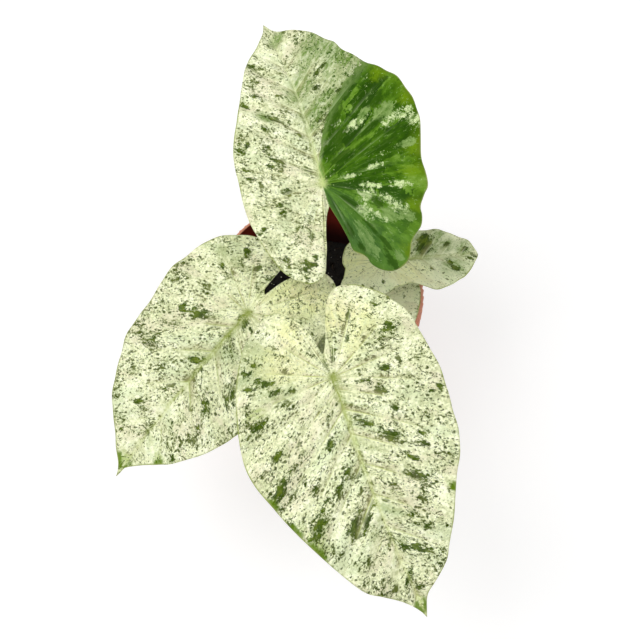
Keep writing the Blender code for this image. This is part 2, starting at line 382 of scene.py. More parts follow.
class Rig(Nodes):
    """A Geometry Nodes tree being drawn up, with named inputs for its sizes."""

    def __init__(self, name: str) -> None:
        """Start a tree that takes and gives geometry.

        Args:
            name: The tree's name.
        """
        super().__init__(bpy.data.node_groups.new(name, "GeometryNodeTree"))
        self.name = name
        for way in ("INPUT", "OUTPUT"):
            self.tree.interface.new_socket("Geometry", in_out=way, socket_type="NodeSocketGeometry")
        self.source = self.node("NodeGroupInput")
        self.sink = self.node("NodeGroupOutput")
        self.values: dict[str, Any] = {}

    @property
    def base(self) -> Socket:
        """The geometry that the tree is given."""
        return self.source.outputs["Geometry"]

    def size(self, name: str, value: Any, kind: str = "NodeSocketFloat") -> Socket:
        """Add a named input.

        Args:
            name: The input's name.
            value: The value that the modifier gives it.
            kind: The socket's type.

        Returns:
            The socket that carries it.
        """
        item = self.tree.interface.new_socket(name, in_out="INPUT", socket_type=kind)
        self.values[item.identifier] = value
        return self.source.outputs[name]

    def random(self, low: Any, high: Any, seed: int) -> Socket:
        """A seeded random vector for each element."""
        inputs = {0: low, 1: high, "Seed": seed}
        return self.first("FunctionNodeRandomValue", inputs, data_type="FLOAT_VECTOR")

    def dressed(self, geometry: Socket, material: bpy.types.Material) -> Socket:
        """The geometry with its instances made real and a material set."""
        real = self.first("GeometryNodeRealizeInstances", {"Geometry": geometry})
        return self.first("GeometryNodeSetMaterial", {"Geometry": real, "Material": material})

    def grow(self, geometry: Socket, base: bpy.types.Mesh | None = None) -> bpy.types.Mesh:
        """Evaluate the tree once.

        Args:
            geometry: The tree's result, already dressed.
            base: The mesh that the tree is given, if it needs one.

        Returns:
            A plain mesh, with no modifier left.
        """
        self.tree.links.new(geometry, self.sink.inputs["Geometry"])
        host = bpy.data.objects.new(self.name, base or bpy.data.meshes.new(self.name))
        bpy.context.scene.collection.objects.link(host)
        modifier = host.modifiers.new(self.name, "NODES")
        modifier.node_group = self.tree
        for identifier, value in self.values.items():
            modifier[identifier] = value
        graph = bpy.context.evaluated_depsgraph_get()
        mesh = bpy.data.meshes.new_from_object(host.evaluated_get(graph), depsgraph=graph)
        host.modifiers.remove(modifier)
        bpy.data.objects.remove(host)
        return mesh


def new_piece(name: str, mesh: bpy.types.Mesh, smooth: bool = True) -> bpy.types.Object:
    """Put a mesh in the scene as an object at the origin.

    Args:
        name: The piece's name.
        mesh: Its mesh.
        smooth: Whether its faces are shaded smooth.

    Returns:
        The piece.
    """
    piece = bpy.data.objects.new(name, mesh)
    bpy.context.scene.collection.objects.link(piece)
    if smooth:
        mesh.polygons.foreach_set("use_smooth", [True] * len(mesh.polygons))
    return piece


def hand_over(piece: bpy.types.Object, slot: str, *nodes: str) -> None:
    """Let a piece ride on the plant's one body, in place of its solids.

    Args:
        piece: The finished piece.
        slot: The record's material slot; it is not used.
        *nodes: The solids it stands for.
    """
    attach(piece, BODY)
    if nodes:
        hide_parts(*nodes)
    piece.data.calc_loop_triangles()
    LOG.info("%s: %d triangles", piece.name, len(piece.data.loop_triangles))


def turned(profile: Sequence[Point2], segments: int) -> bmesh.types.BMesh:
    """A closed surface turned about Z.

    Args:
        profile: Points of radius and height in millimetres; the ends lie on the axis.
        segments: The number of steps round it.

    Returns:
        The surface, in metres, facing outwards.
    """
    builder = bmesh.new()
    rings = []
    for radius, height in profile:
        if radius == 0:
            rings.append([builder.verts.new((0, 0, height * MM))])
            continue
        ring = []
        for k in range(segments):
            turn = 2 * math.pi * k / segments
            spot = (radius * math.cos(turn) * MM, radius * math.sin(turn) * MM, height * MM)
            ring.append(builder.verts.new(spot))
        rings.append(ring)
    for low, high in zip(rings, rings[1:]):
        for k in range(segments):
            lower = [low[j % len(low)] for j in (k, k + 1)]
            upper = [high[j % len(high)] for j in (k + 1, k)]
            builder.faces.new(list(dict.fromkeys(lower + upper)))
    bmesh.ops.recalc_face_normals(builder, faces=builder.faces)
    return builder


def to_mesh(
    builder: bmesh.types.BMesh, name: str, *materials: bpy.types.Material
) -> bpy.types.Mesh:
    """Turn a finished bmesh into a mesh.

    Args:
        builder: The bmesh, which is freed.
        name: The mesh's name.
        *materials: Its materials, in order.

    Returns:
        The mesh.
    """
    mesh = bpy.data.meshes.new(name)
    builder.to_mesh(mesh)
    builder.free()
    for material in materials:
        mesh.materials.append(material)
    return mesh


class Map(Enum):
    """The UV layers of a blade.

    PLAN is the flat blade, LEAN is the same turned to the flecks' slant, FLOW runs along the side
    veins, and GRID holds each point's vein number and its share of the way to the margin.
    """

    PLAN = "plan"
    LEAN = "lean"
    FLOW = "flow"
    GRID = "grid"


class Tone(Enum):
    """The kinds of marking on a blade, by the name of the field that holds each."""

    OLIVE = "olive"
    SAGE = "sage"
    CREAM = "cream"
    LIME = "lime"
    GREEN = "green"


class Shade(Enum):
    """The colours that a fleck may have."""

    HAZE = "haze"
    FLECK = "fleck"
    DEEP = "deep"


class BladePaint(Paint):
    """Paint that reads a blade's own maps and fields, with its grains in millimetres."""

    def __init__(self, name: str) -> None:
        """Start a material that reads the blade's maps.

        Args:
            name: The material's name.
        """
        super().__init__(name)
        self.maps = {layer: self.uv(layer.value) for layer in Map}
        self.across, self.ahead = self.parts(self.maps[Map.PLAN])[:2]
        self.number, self.share = self.parts(self.maps[Map.GRID])[:2]
        self.edge = self.field(EDGE)
        self.colour: Any = (1, 1, 1, 1)

    def lay(self, share: Any, shade: Any) -> None:
        """Lay a colour over those so far, by its share."""
        self.colour = self.mix(share, self.colour, shade)

    def cover(self, shade: Any, value: Any, low: float, high: float, most: float = 1.0) -> None:
        """Lay a colour over those so far where a value is past a level, as over does."""
        self.colour = self.over(self.colour, shade, value, low, high, most)

    def mark(self, tone: Tone) -> Socket:
        """How strongly a tone's marks cover each point, 0.5 at their edge."""
        return self.field(tone.value)

    def drawn(self, layer: Map, squash: float, shift: Point2) -> Socket:
        """A map drawn out across by a squash below 1, and moved so that no two grains agree."""
        return self.stretched(self.maps[layer], (squash, 1, 1), (*shift, 0))

    def grain(
        self,
        layer: Map,
        size: float,
        detail: float = 2,
        rough: float = 0.5,
        squash: float = 1.0,
        shift: Point2 = (0, 0),
        bend: float = 0,
    ) -> Socket:
        """Noise on one of the maps.

        Args:
            layer: The map it lies on.
            size: Its lumps' size in millimetres.
            detail: How many finer layers it has.
            rough: How strong the finer layers are.
            squash: Its scale across; below 1 the lumps are drawn out.
            shift: How far it is moved, so that no two grains agree.
            bend: How far its lumps are swirled.

        Returns:
            A number around 0.5.
        """
        return self.noise(self.drawn(layer, squash, shift), UV_UNIT / size, detail, rough, bend)


@dataclass(frozen=True)
class RibLine:
    """Where the midrib runs on the skin.

    It has the distance off the midrib, the midrib's half width, the streaks along it and how
    strongly it shows.
    """

    offset: Socket
    wide: Socket
    streak: Socket
    shows: Socket


@dataclass(frozen=True)
class FleckLayer:
    """Flecks cut from a grain.

    The grain has its map, squash, shift, size, detail and roughness. A fleck starts at the level,
    is full an edge above it, and then covers what lies below by the most.
    """

    layer: Map
    squash: float
    shift: Point2
    size: float
    detail: int
    rough: float
    level: float
    edge: float
    most: float
    shade: Shade


@dataclass(frozen=True)
class DotLayer:
    """Separate ragged dots: the size of their cells, the share that hold one and its radius."""

    squash: float
    shift: Point2
    size: float
    likely: float
    radius: float
    shade: Shade


@dataclass(frozen=True)
class BladeFinish:
    """The skin of a pale blade: a clouded cream ground, sage haze, olive flecks and green veins.

    A placed marking crowds the flecks around it, so that it frays into them as it does on a leaf.
    shift crowds the flecks, dull darkens the ground, wash and cast tint it green and yellow, fray
    roughens the patches, and lines strengthens the side veins.
    """

    name: str
    shift: float = 0.0
    dull: float = 0.0
    wash: float = 0.4
    fray: float = 3.4
    cast: float = 0.0
    lines: float = 1.0
    greens: bool = False
    underside: bool = False
    rib: Colour = tint(204, 215, 138)
    margin: Colour = tint(150, 162, 88)
    seat: Colour = tint(138, 152, 66)
    shade: Colour = tint(142, 156, 88)
    haze: Colour = tint(168, 178, 130)
    fleck: Colour = tint(84, 96, 36)
    deep: Colour = tint(58, 72, 16)

    GROUND = (
        (0.36, tint(253, 255, 225)),
        (0.44, tint(244, 248, 210)),
        (0.50, tint(232, 236, 193)),
        (0.56, tint(215, 220, 174)),
        (0.64, tint(190, 196, 150)),
    )
    PATCH = (
        (0.38, tint(42, 60, 4)),
        (0.50, tint(62, 84, 12)),
        (0.62, tint(96, 114, 28)),
    )
    GREENS = (
        (0.28, tint(36, 70, 0)),
        (0.40, tint(50, 88, 2)),
        (0.48, tint(70, 110, 14)),
        (0.58, tint(92, 132, 32)),
        (0.72, tint(122, 156, 62)),
    )
    COOL, BEIGE, YELLOWED = tint(206, 220, 176), tint(222, 214, 184), tint(170, 186, 92)
    SAGE_WASH, LIME_WASH, CREAM_WASH = tint(108, 138, 60), tint(150, 178, 62), tint(238, 238, 164)
    GREEN_FLECK, GREEN_DEEP = tint(76, 106, 36), tint(56, 86, 20)
    SAGE_DARK, SAGE_PALE, LOBE = tint(92, 126, 54), tint(140, 166, 96), tint(80, 118, 60)
    SUNNY_EDGE, SUNNY, DARK = tint(96, 132, 14), tint(108, 142, 10), tint(36, 70, 0)
    HALO, SPLASH = tint(146, 174, 106), tint(216, 230, 174)
    SPECK_DARK, SPECK_PALE = tint(40, 76, 4), tint(196, 218, 150)
    THREAD_DARK, THREAD_PALE = tint(38, 72, 2), tint(150, 180, 104)
    RAY_PALE, RAY_DARK = tint(238, 243, 198), tint(140, 154, 88)
    # the first is a painted highlight on the vein crests, and the other two are painted shade in
    # the hollows beside them
    CREST, VALLEY, VALLEY_GREEN = tint(248, 251, 210), tint(186, 176, 134), tint(52, 88, 10)
    # the first of these is painted shade under the veins on the green parts
    UNDER_GREEN, VEIN_GREEN, RIM_GREEN = tint(44, 80, 6), tint(150, 184, 108), tint(92, 122, 16)
    BLOOM = tint(192, 200, 152)
    FLECKS = (
        FleckLayer(Map.PLAN, 1.0, (1.3, 5.2), 1.3, 3, 0.7, 0.530, 0.06, 0.55, Shade.HAZE),
        FleckLayer(Map.FLOW, 0.5, (7.7, 2.9), 2.2, 5, 0.78, 0.606, 0.01, 0.90, Shade.FLECK),
        FleckLayer(Map.LEAN, 0.55, (2.7, 3.9), 1.45, 4, 0.74, 0.600, 0.01, 0.92, Shade.FLECK),
        FleckLayer(Map.LEAN, 0.7, (4.4, 8.1), 0.95, 2, 0.6, 0.600, 0.012, 0.95, Shade.DEEP),
    )
    DOTS = (
        DotLayer(0.75, (0.6, 3.7), 2.0, 0.26, 0.38, Shade.DEEP),
        DotLayer(0.62, (8.3, 1.1), 3.6, 0.08, 0.36, Shade.FLECK),
    )

    def underneath(self) -> "BladeFinish":
        """The same skin for the leaf's underside."""
        return replace(self, name=f"{self.name} underside", underside=True)

    def make(self) -> bpy.types.Material:
        """Build the material.

        Returns:
            The finished material.
        """
        paint = BladePaint(self.name)
        self._ground(paint)
        self._washes(paint)
        self._flecks(paint)
        if self.greens:
            self._greens(paint)
        rib = self._rib_line(paint)
        self._rays(paint, rib)
        vein = self._veins(paint, rib)
        ragged = paint.swing(paint.grain(Map.FLOW, 2, 3, 0.7), 0.1)
        near = paint.add(paint.length(paint.maps[Map.PLAN]), ragged)
        paint.cover(self.seat, near, 0.042, 0.012, 0.7)
        self._margin(paint)
        if self.underside:
            paint.lay(0.45, self.BLOOM)
        pores = paint.grain(Map.PLAN, 0.8, 2, 0.6)
        paint.bump(paint.add(paint.times(pores, 0.5), paint.times(vein, -0.6)), 0.00012)
        rough = paint.between(paint.grain(Map.PLAN, 9, 3), 0.3, 0.7, 0.44, 0.58)
        return paint.finish(paint.colour, rough, Specular_IOR_Level=0.05)

    def _ground(self, paint: BladePaint) -> None:
        """Cream to white, clouded at every size, each panel between two veins with its own tone.

        Args:
            paint: The material being painted.
        """
        broad = paint.grain(Map.PLAN, 8, 5, 0.72, shift=(3.1, 1.7))
        fine = paint.grain(Map.PLAN, 1.3, 2, 0.6)
        cloud = paint.add(paint.times(broad, 0.45), paint.times(fine, 0.55))
        sage = paint.between(paint.mark(Tone.SAGE), 0.15, 0.85, self.dull, self.dull + 0.05)
        side = paint.times(paint.maths("SIGN", paint.across), 31.0)
        panel = paint.add(paint.maths("FLOOR", paint.add(paint.number, 0.5)), side)
        pick = paint.node("ShaderNodeTexWhiteNoise", {"W": panel}, noise_dimensions="1D")
        light = paint.add(paint.add(cloud, sage), paint.swing(pick.outputs["Value"], 0.05))
        paint.colour = paint.ramp(light, self.GROUND)
        hue = paint.grain(Map.LEAN, 9, 4, 0.62, 0.5, (6.4, 0.9))
        paint.cover(self.COOL, hue, 0.52, 0.64, 0.45)
        paint.cover(self.BEIGE, hue, 0.47, 0.37, 0.5)
        paint.lay(self.cast, self.YELLOWED)

    def _washes(self, paint: BladePaint) -> None:
        """Thin green and yellow washes over the ground, drawn out into streaks.

        Args:
            paint: The material being painted.
        """
        streak = paint.grain(Map.FLOW, 2.1, 6, 0.76, 0.3, (0.7, 6.6))
        drawn = paint.between(streak, 0.42, 0.58, 0.4, 1.0)
        for tone, low, most, shade in (
            (Tone.SAGE, 0.1, self.wash, self.SAGE_WASH),
            (Tone.LIME, 0.2, 0.7, self.LIME_WASH),
            (Tone.CREAM, 0.1, 0.55, self.CREAM_WASH),
        ):
            share = paint.times(paint.between(paint.mark(tone), low, 0.8, 0, most), drawn)
            paint.lay(share, shade)

    def _flecks(self, paint: BladePaint) -> None:
        """Soft sage specks, then crisp olive ones of three sizes in loose crowds, then the patches.

        Args:
            paint: The material being painted.
        """
        olive, sage, cream = (paint.mark(tone) for tone in (Tone.OLIVE, Tone.SAGE, Tone.CREAM))
        crowd = paint.swing(paint.grain(Map.PLAN, 12, 3, 0.55), 0.30)
        for cover, pull in ((olive, 0.04), (sage, -0.03 * self.wash), (cream, -0.02)):
            crowd = paint.add(crowd, paint.times(cover, pull))
        crowd = paint.add(crowd, self.shift)
        turning = paint.between(sage, 0.2, 0.7, 0, self.wash)
        shades = {
            Shade.HAZE: self.haze,
            Shade.FLECK: paint.mix(turning, self.fleck, self.GREEN_FLECK),
            Shade.DEEP: paint.mix(turning, self.deep, self.GREEN_DEEP),
        }
        for row in self.FLECKS:
            speck = paint.grain(row.layer, row.size, row.detail, row.rough, row.squash, row.shift)
            ends = (row.level, row.level + row.edge, row.most)
            paint.cover(shades[row.shade], paint.add(speck, crowd), *ends)
        for row in self.DOTS:
            likely = paint.add(paint.times(crowd, 3.0), row.likely)
            where = paint.drawn(Map.LEAN, row.squash, row.shift)
            dots = paint.dots(where, row.size / UV_UNIT, likely, row.radius)
            paint.lay(paint.times(dots, 0.92), shades[row.shade])
        ragged = paint.swing(paint.grain(Map.LEAN, 2.4, 6, 0.8, 0.6, (2.2, 6.3)), self.fray)
        inner = paint.ramp(paint.grain(Map.LEAN, 2.8, 4, 0.7, 0.6, (9.2, 4.3)), self.PATCH)
        paint.cover(inner, paint.add(olive, ragged), 0.54, 0.60, 0.96)

    def _greens(self, paint: BladePaint) -> None:
        """The full green sectors: flat tones that end on the veins, with cream splashes.

        Args:
            paint: The material being painted.
        """
        fine = paint.grain(Map.FLOW, 2.2, 5, 0.72, 0.5, (5.5, 4.2))
        rag = paint.add(fine, -0.5)
        cream = paint.mark(Tone.CREAM)
        muted = paint.mix(paint.between(fine, 0.36, 0.62), self.SAGE_DARK, self.SAGE_PALE)
        green = self._green_tones(paint, fine)
        edge = paint.between(paint.frayed(paint.edge, rag, 20), 9.0, 1.0)
        green = paint.mix(paint.times(edge, 0.4), green, self.SUNNY_EDGE)
        lime = paint.frayed(paint.mark(Tone.LIME), rag, 1.2)
        green = paint.over(green, self.SUNNY, lime, 0.3, 0.9, 0.75)
        sage = paint.frayed(paint.mark(Tone.SAGE), rag, 1.6)
        green = paint.over(green, muted, sage, 0.46, 0.56, 0.9)
        splash = paint.grain(Map.PLAN, 2.6, 6, 0.85, shift=(1.5, 7.2))
        spread = paint.between(cream, 0.0, 0.2, 3.2, 5.5)
        splash = paint.frayed(cream, paint.add(splash, -0.5), spread)
        green = paint.over(green, self.HALO, splash, 0.44, 0.58, 0.65)
        green = paint.over(green, self.SPLASH, splash, 0.60, 0.72, 0.95)
        speck = paint.grain(Map.PLAN, 1.2, 3, 0.7, shift=(4.6, 1.2))
        green = paint.over(green, self.SPECK_DARK, speck, 0.38, 0.33, 0.5)
        speck = paint.add(speck, paint.swing(paint.grain(Map.PLAN, 16), 0.25))
        speck = paint.add(speck, paint.times(cream, 0.22))
        green = paint.over(green, self.SPECK_PALE, speck, 0.68, 0.72, 0.85)
        thread = paint.grain(Map.FLOW, 1.5, 4, 0.76, 0.28, (3.5, 8.8))
        green = paint.over(green, self.THREAD_PALE, thread, 0.59, 0.65, 0.5)
        green = paint.over(green, self.THREAD_DARK, thread, 0.42, 0.34, 0.5)
        green = paint.over(green, self.LOBE, paint.number, 3.6, 1.2, 0.5)
        dark = paint.frayed(paint.mark(Tone.OLIVE), rag, 1.6)
        green = paint.over(green, self.DARK, dark, 0.4, 0.6, 0.8)
        share = paint.frayed(paint.mark(Tone.GREEN), rag, 0.8)
        green = paint.over(green, muted, share, 0.95, 0.7, 0.5)
        paint.cover(green, share, 0.46, 0.54)

    def _green_tones(self, paint: BladePaint, fine: Socket) -> Socket:
        """The greens under the splashes, in cells that follow the veins.

        Args:
            paint: The material being painted.
            fine: The fine grain that frays every edge.

        Returns:
            The colour.
        """
        wander = paint.grain(Map.PLAN, 6, 3, 0.6)
        across = paint.add(paint.times(paint.number, 1.6), paint.times(wander, 0.5))
        along = paint.add(paint.times(paint.share, 2.2), paint.times(wander, 0.9))
        cell = paint.first("ShaderNodeCombineXYZ", {"X": across, "Y": along})
        inputs = {"Vector": cell, "Scale": 1.0, "Randomness": 0.8}
        sector = paint.node("ShaderNodeTexVoronoi", inputs, distance="CHEBYCHEV").outputs["Color"]
        bands = paint.grain(Map.FLOW, 5, 3, 0.55, 0.3, (9.1, 3.3))
        blots = paint.grain(Map.PLAN, 9, 4, 0.6, shift=(7.4, 2.8), bend=0.6)
        tone: Any = 0.42
        for part, reach in ((bands, 0.5), (fine, 0.45), (blots, 0.45), (sector, 0.42)):
            tone = paint.add(tone, paint.swing(part, reach))
        return paint.ramp(tone, self.GREENS)

    def _rib_line(self, paint: BladePaint) -> RibLine:
        """The midrib's place, bright at the seat and lost towards the tip.

        Args:
            paint: The material being painted.

        Returns:
            The midrib's line.
        """
        plan = paint.stretched(paint.maps[Map.PLAN], (1, 0.12, 1))
        streak = paint.noise(plan, UV_UNIT / 0.9, 3, 0.6)
        offset = paint.add(paint.maths("ABSOLUTE", paint.across), paint.swing(streak, 0.035))
        wide = paint.between(paint.ahead, 0.0, 0.6, 1.75 / UV_UNIT, 1.1 / UV_UNIT)
        shows = paint.product(
            paint.between(offset, wide, paint.times(wide, 0.45)),
            paint.between(paint.ahead, -0.035, 0.0),
            paint.between(paint.ahead, 0.85, 0.05, 0.4, 0.85),
            paint.between(streak, 0.34, 0.6, 0.5, 1),
        )
        return RibLine(offset, wide, streak, shows)

    def _rays(self, paint: BladePaint, rib: RibLine) -> None:
        """The broken shade beside the midrib, then the streaks that spread from the seat.

        Args:
            paint: The material being painted.
            rib: The midrib's line.
        """
        beside = paint.product(
            paint.between(rib.offset, paint.times(rib.wide, 2.2), rib.wide),
            paint.between(rib.streak, 0.44, 0.58),
            paint.between(paint.ahead, 0.85, 0.2, 0, 0.75),
            paint.between(paint.ahead, 0.0, 0.03),
        )
        paint.lay(beside, self.shade)
        ray = paint.grain(Map.FLOW, 1.3, 3, 0.6, 0.1, (4.1, 5.7))
        close = paint.between(paint.length(paint.maps[Map.PLAN]), 0.26, 0.05)
        close = paint.times(close, paint.inverse(paint.mark(Tone.GREEN)))
        pale = paint.times(paint.between(ray, 0.52, 0.60, 0, 0.8), close)
        paint.lay(pale, self.RAY_PALE)
        dark = paint.times(paint.between(ray, 0.42, 0.36, 0, 0.6), close)
        paint.lay(dark, self.RAY_DARK)

    def _veins(self, paint: BladePaint, rib: RibLine) -> Socket:
        """The midrib and the faint side veins, each with painted shade in its hollow and a painted
        highlight on its crest.

        Args:
            paint: The material being painted.
            rib: The midrib's line.

        Returns:
            Where the veins are.
        """
        number, share = paint.number, paint.share
        pale = paint.between(paint.mark(Tone.GREEN), 0.56, 0.46) if self.greens else 1.0
        out = paint.product(
            paint.between(paint.grain(Map.PLAN, 13), 0.40, 0.58, 0.2, 1),
            paint.between(share, 0.92, 0.05),
            paint.between(number, 4.8, 3.6, 1, 0.8 if self.greens else 1.5),
            paint.mixed(pale, paint.between(share, 0.08, 0.5, 0.1, 2.0), self.lines),
        )
        part = paint.maths("FRACT", paint.add(number, 0.5))
        # painted shade in the hollow on one side of each vein, beige on the pale parts and dark
        # green on the green
        valley_shade = paint.product(
            paint.between(part, 0.1, 0.49),
            paint.between(part, 0.505, 0.495),
            paint.between(rib.streak, 0.3, 0.6, 0.6, 1),
            out,
        )
        hollow = paint.mix(pale, self.VALLEY_GREEN, self.VALLEY)
        paint.lay(paint.times(valley_shade, 0.4), hollow)
        # painted highlight along each vein's crest
        crest_highlight = paint.product(
            paint.between(part, 0.495, 0.505),
            paint.between(part, 0.66, 0.52),
            paint.between(pale, 0, 1, 0.1, 0.4),
            out,
        )
        paint.lay(crest_highlight, self.CREST)
        # painted shade in a thin line just before each vein
        before = paint.between(part, 0.38, 0.48)
        under = paint.product(before, paint.between(part, 0.505, 0.49), out)
        shade = paint.mix(pale, self.UNDER_GREEN, self.shade)
        paint.lay(paint.times(under, 0.3), shade)
        at_seat = paint.between(share, 0.02, 0.4, 0.11, 0.03)
        thick = paint.mixed(paint.between(number, 5.0, 4.6), 0.03, at_seat)
        side = paint.between(paint.maths("PINGPONG", number, 0.5), thick, paint.times(thick, 0.3))
        twig = paint.between(paint.maths("PINGPONG", paint.times(number, 3), 0.5), 0.08, 0.03)
        side = paint.maths("MAXIMUM", paint.times(side, 0.6), paint.times(twig, 0.2))
        if self.greens:
            side = paint.times(side, paint.between(pale, 0, 1, 0.6, 1))
        side = paint.product(side, out, paint.between(number, 1.2, 1.8))
        vein = paint.maths("MAXIMUM", rib.shows, side)
        main = paint.mix(paint.between(paint.ahead, 0.0, 0.4), self.seat, self.rib)
        main = paint.mix(paint.between(rib.shows, 0, 0.3), self.rib, main)
        line = paint.mix(paint.maths("MAXIMUM", pale, rib.shows), self.VEIN_GREEN, main)
        paint.lay(paint.times(vein, 0.85), line)
        return vein

    def _margin(self, paint: BladePaint) -> None:
        """A thin darker line along the margin.

        Args:
            paint: The material being painted.
        """
        ragged = paint.swing(paint.grain(Map.PLAN, 2.2, 4, 0.7), 6)
        band = paint.between(paint.add(paint.edge, ragged), 3.2, 1.6)
        band = paint.times(band, paint.between(paint.mark(Tone.LIME), 0.25, 0.6, 0, 0.85))
        paint.lay(band, self.RIM_GREEN)
        wander = paint.between(paint.grain(Map.PLAN, 11), 0.35, 0.65, 0.1, 0.9)
        line = paint.between(paint.edge, 0.75, 0.2)
        paint.lay(paint.times(line, wander), self.margin)


def rounded_line(distance: np.ndarray, width: float) -> np.ndarray:
    """A line's rounded section: 1 on it, and nearly 0 at twice its half width."""
    return np.exp(-((distance / width) ** 2))


def unit(vectors: np.ndarray) -> np.ndarray:
    """Vectors brought to length 1, with those of no length left at zero."""
    return vectors / np.maximum(np.linalg.norm(vectors, axis=-1, keepdims=True), 1e-9)


@dataclass(frozen=True)
class Relief:
    """The fine shape of a blade's two faces, in millimetres.

    The side veins and the midrib are grooves above and ridges below, each with a depth and a half
    width. The midrib's ridge, the keel, narrows towards the tip.
    """

    vein_depth: float = 0.3
    vein_width: float = 0.8
    ridge_depth: float = 0.45
    ridge_width: float = 1.1
    groove_depth: float = 0.45
    groove_width: float = 1.1
    keel_depth: float = 1.9
    keel_least: float = 0.6
    keel_width: float = 1.5
    sway: float = 0.7
    sway_across: float = 12.0
    sway_ahead: float = 15.0


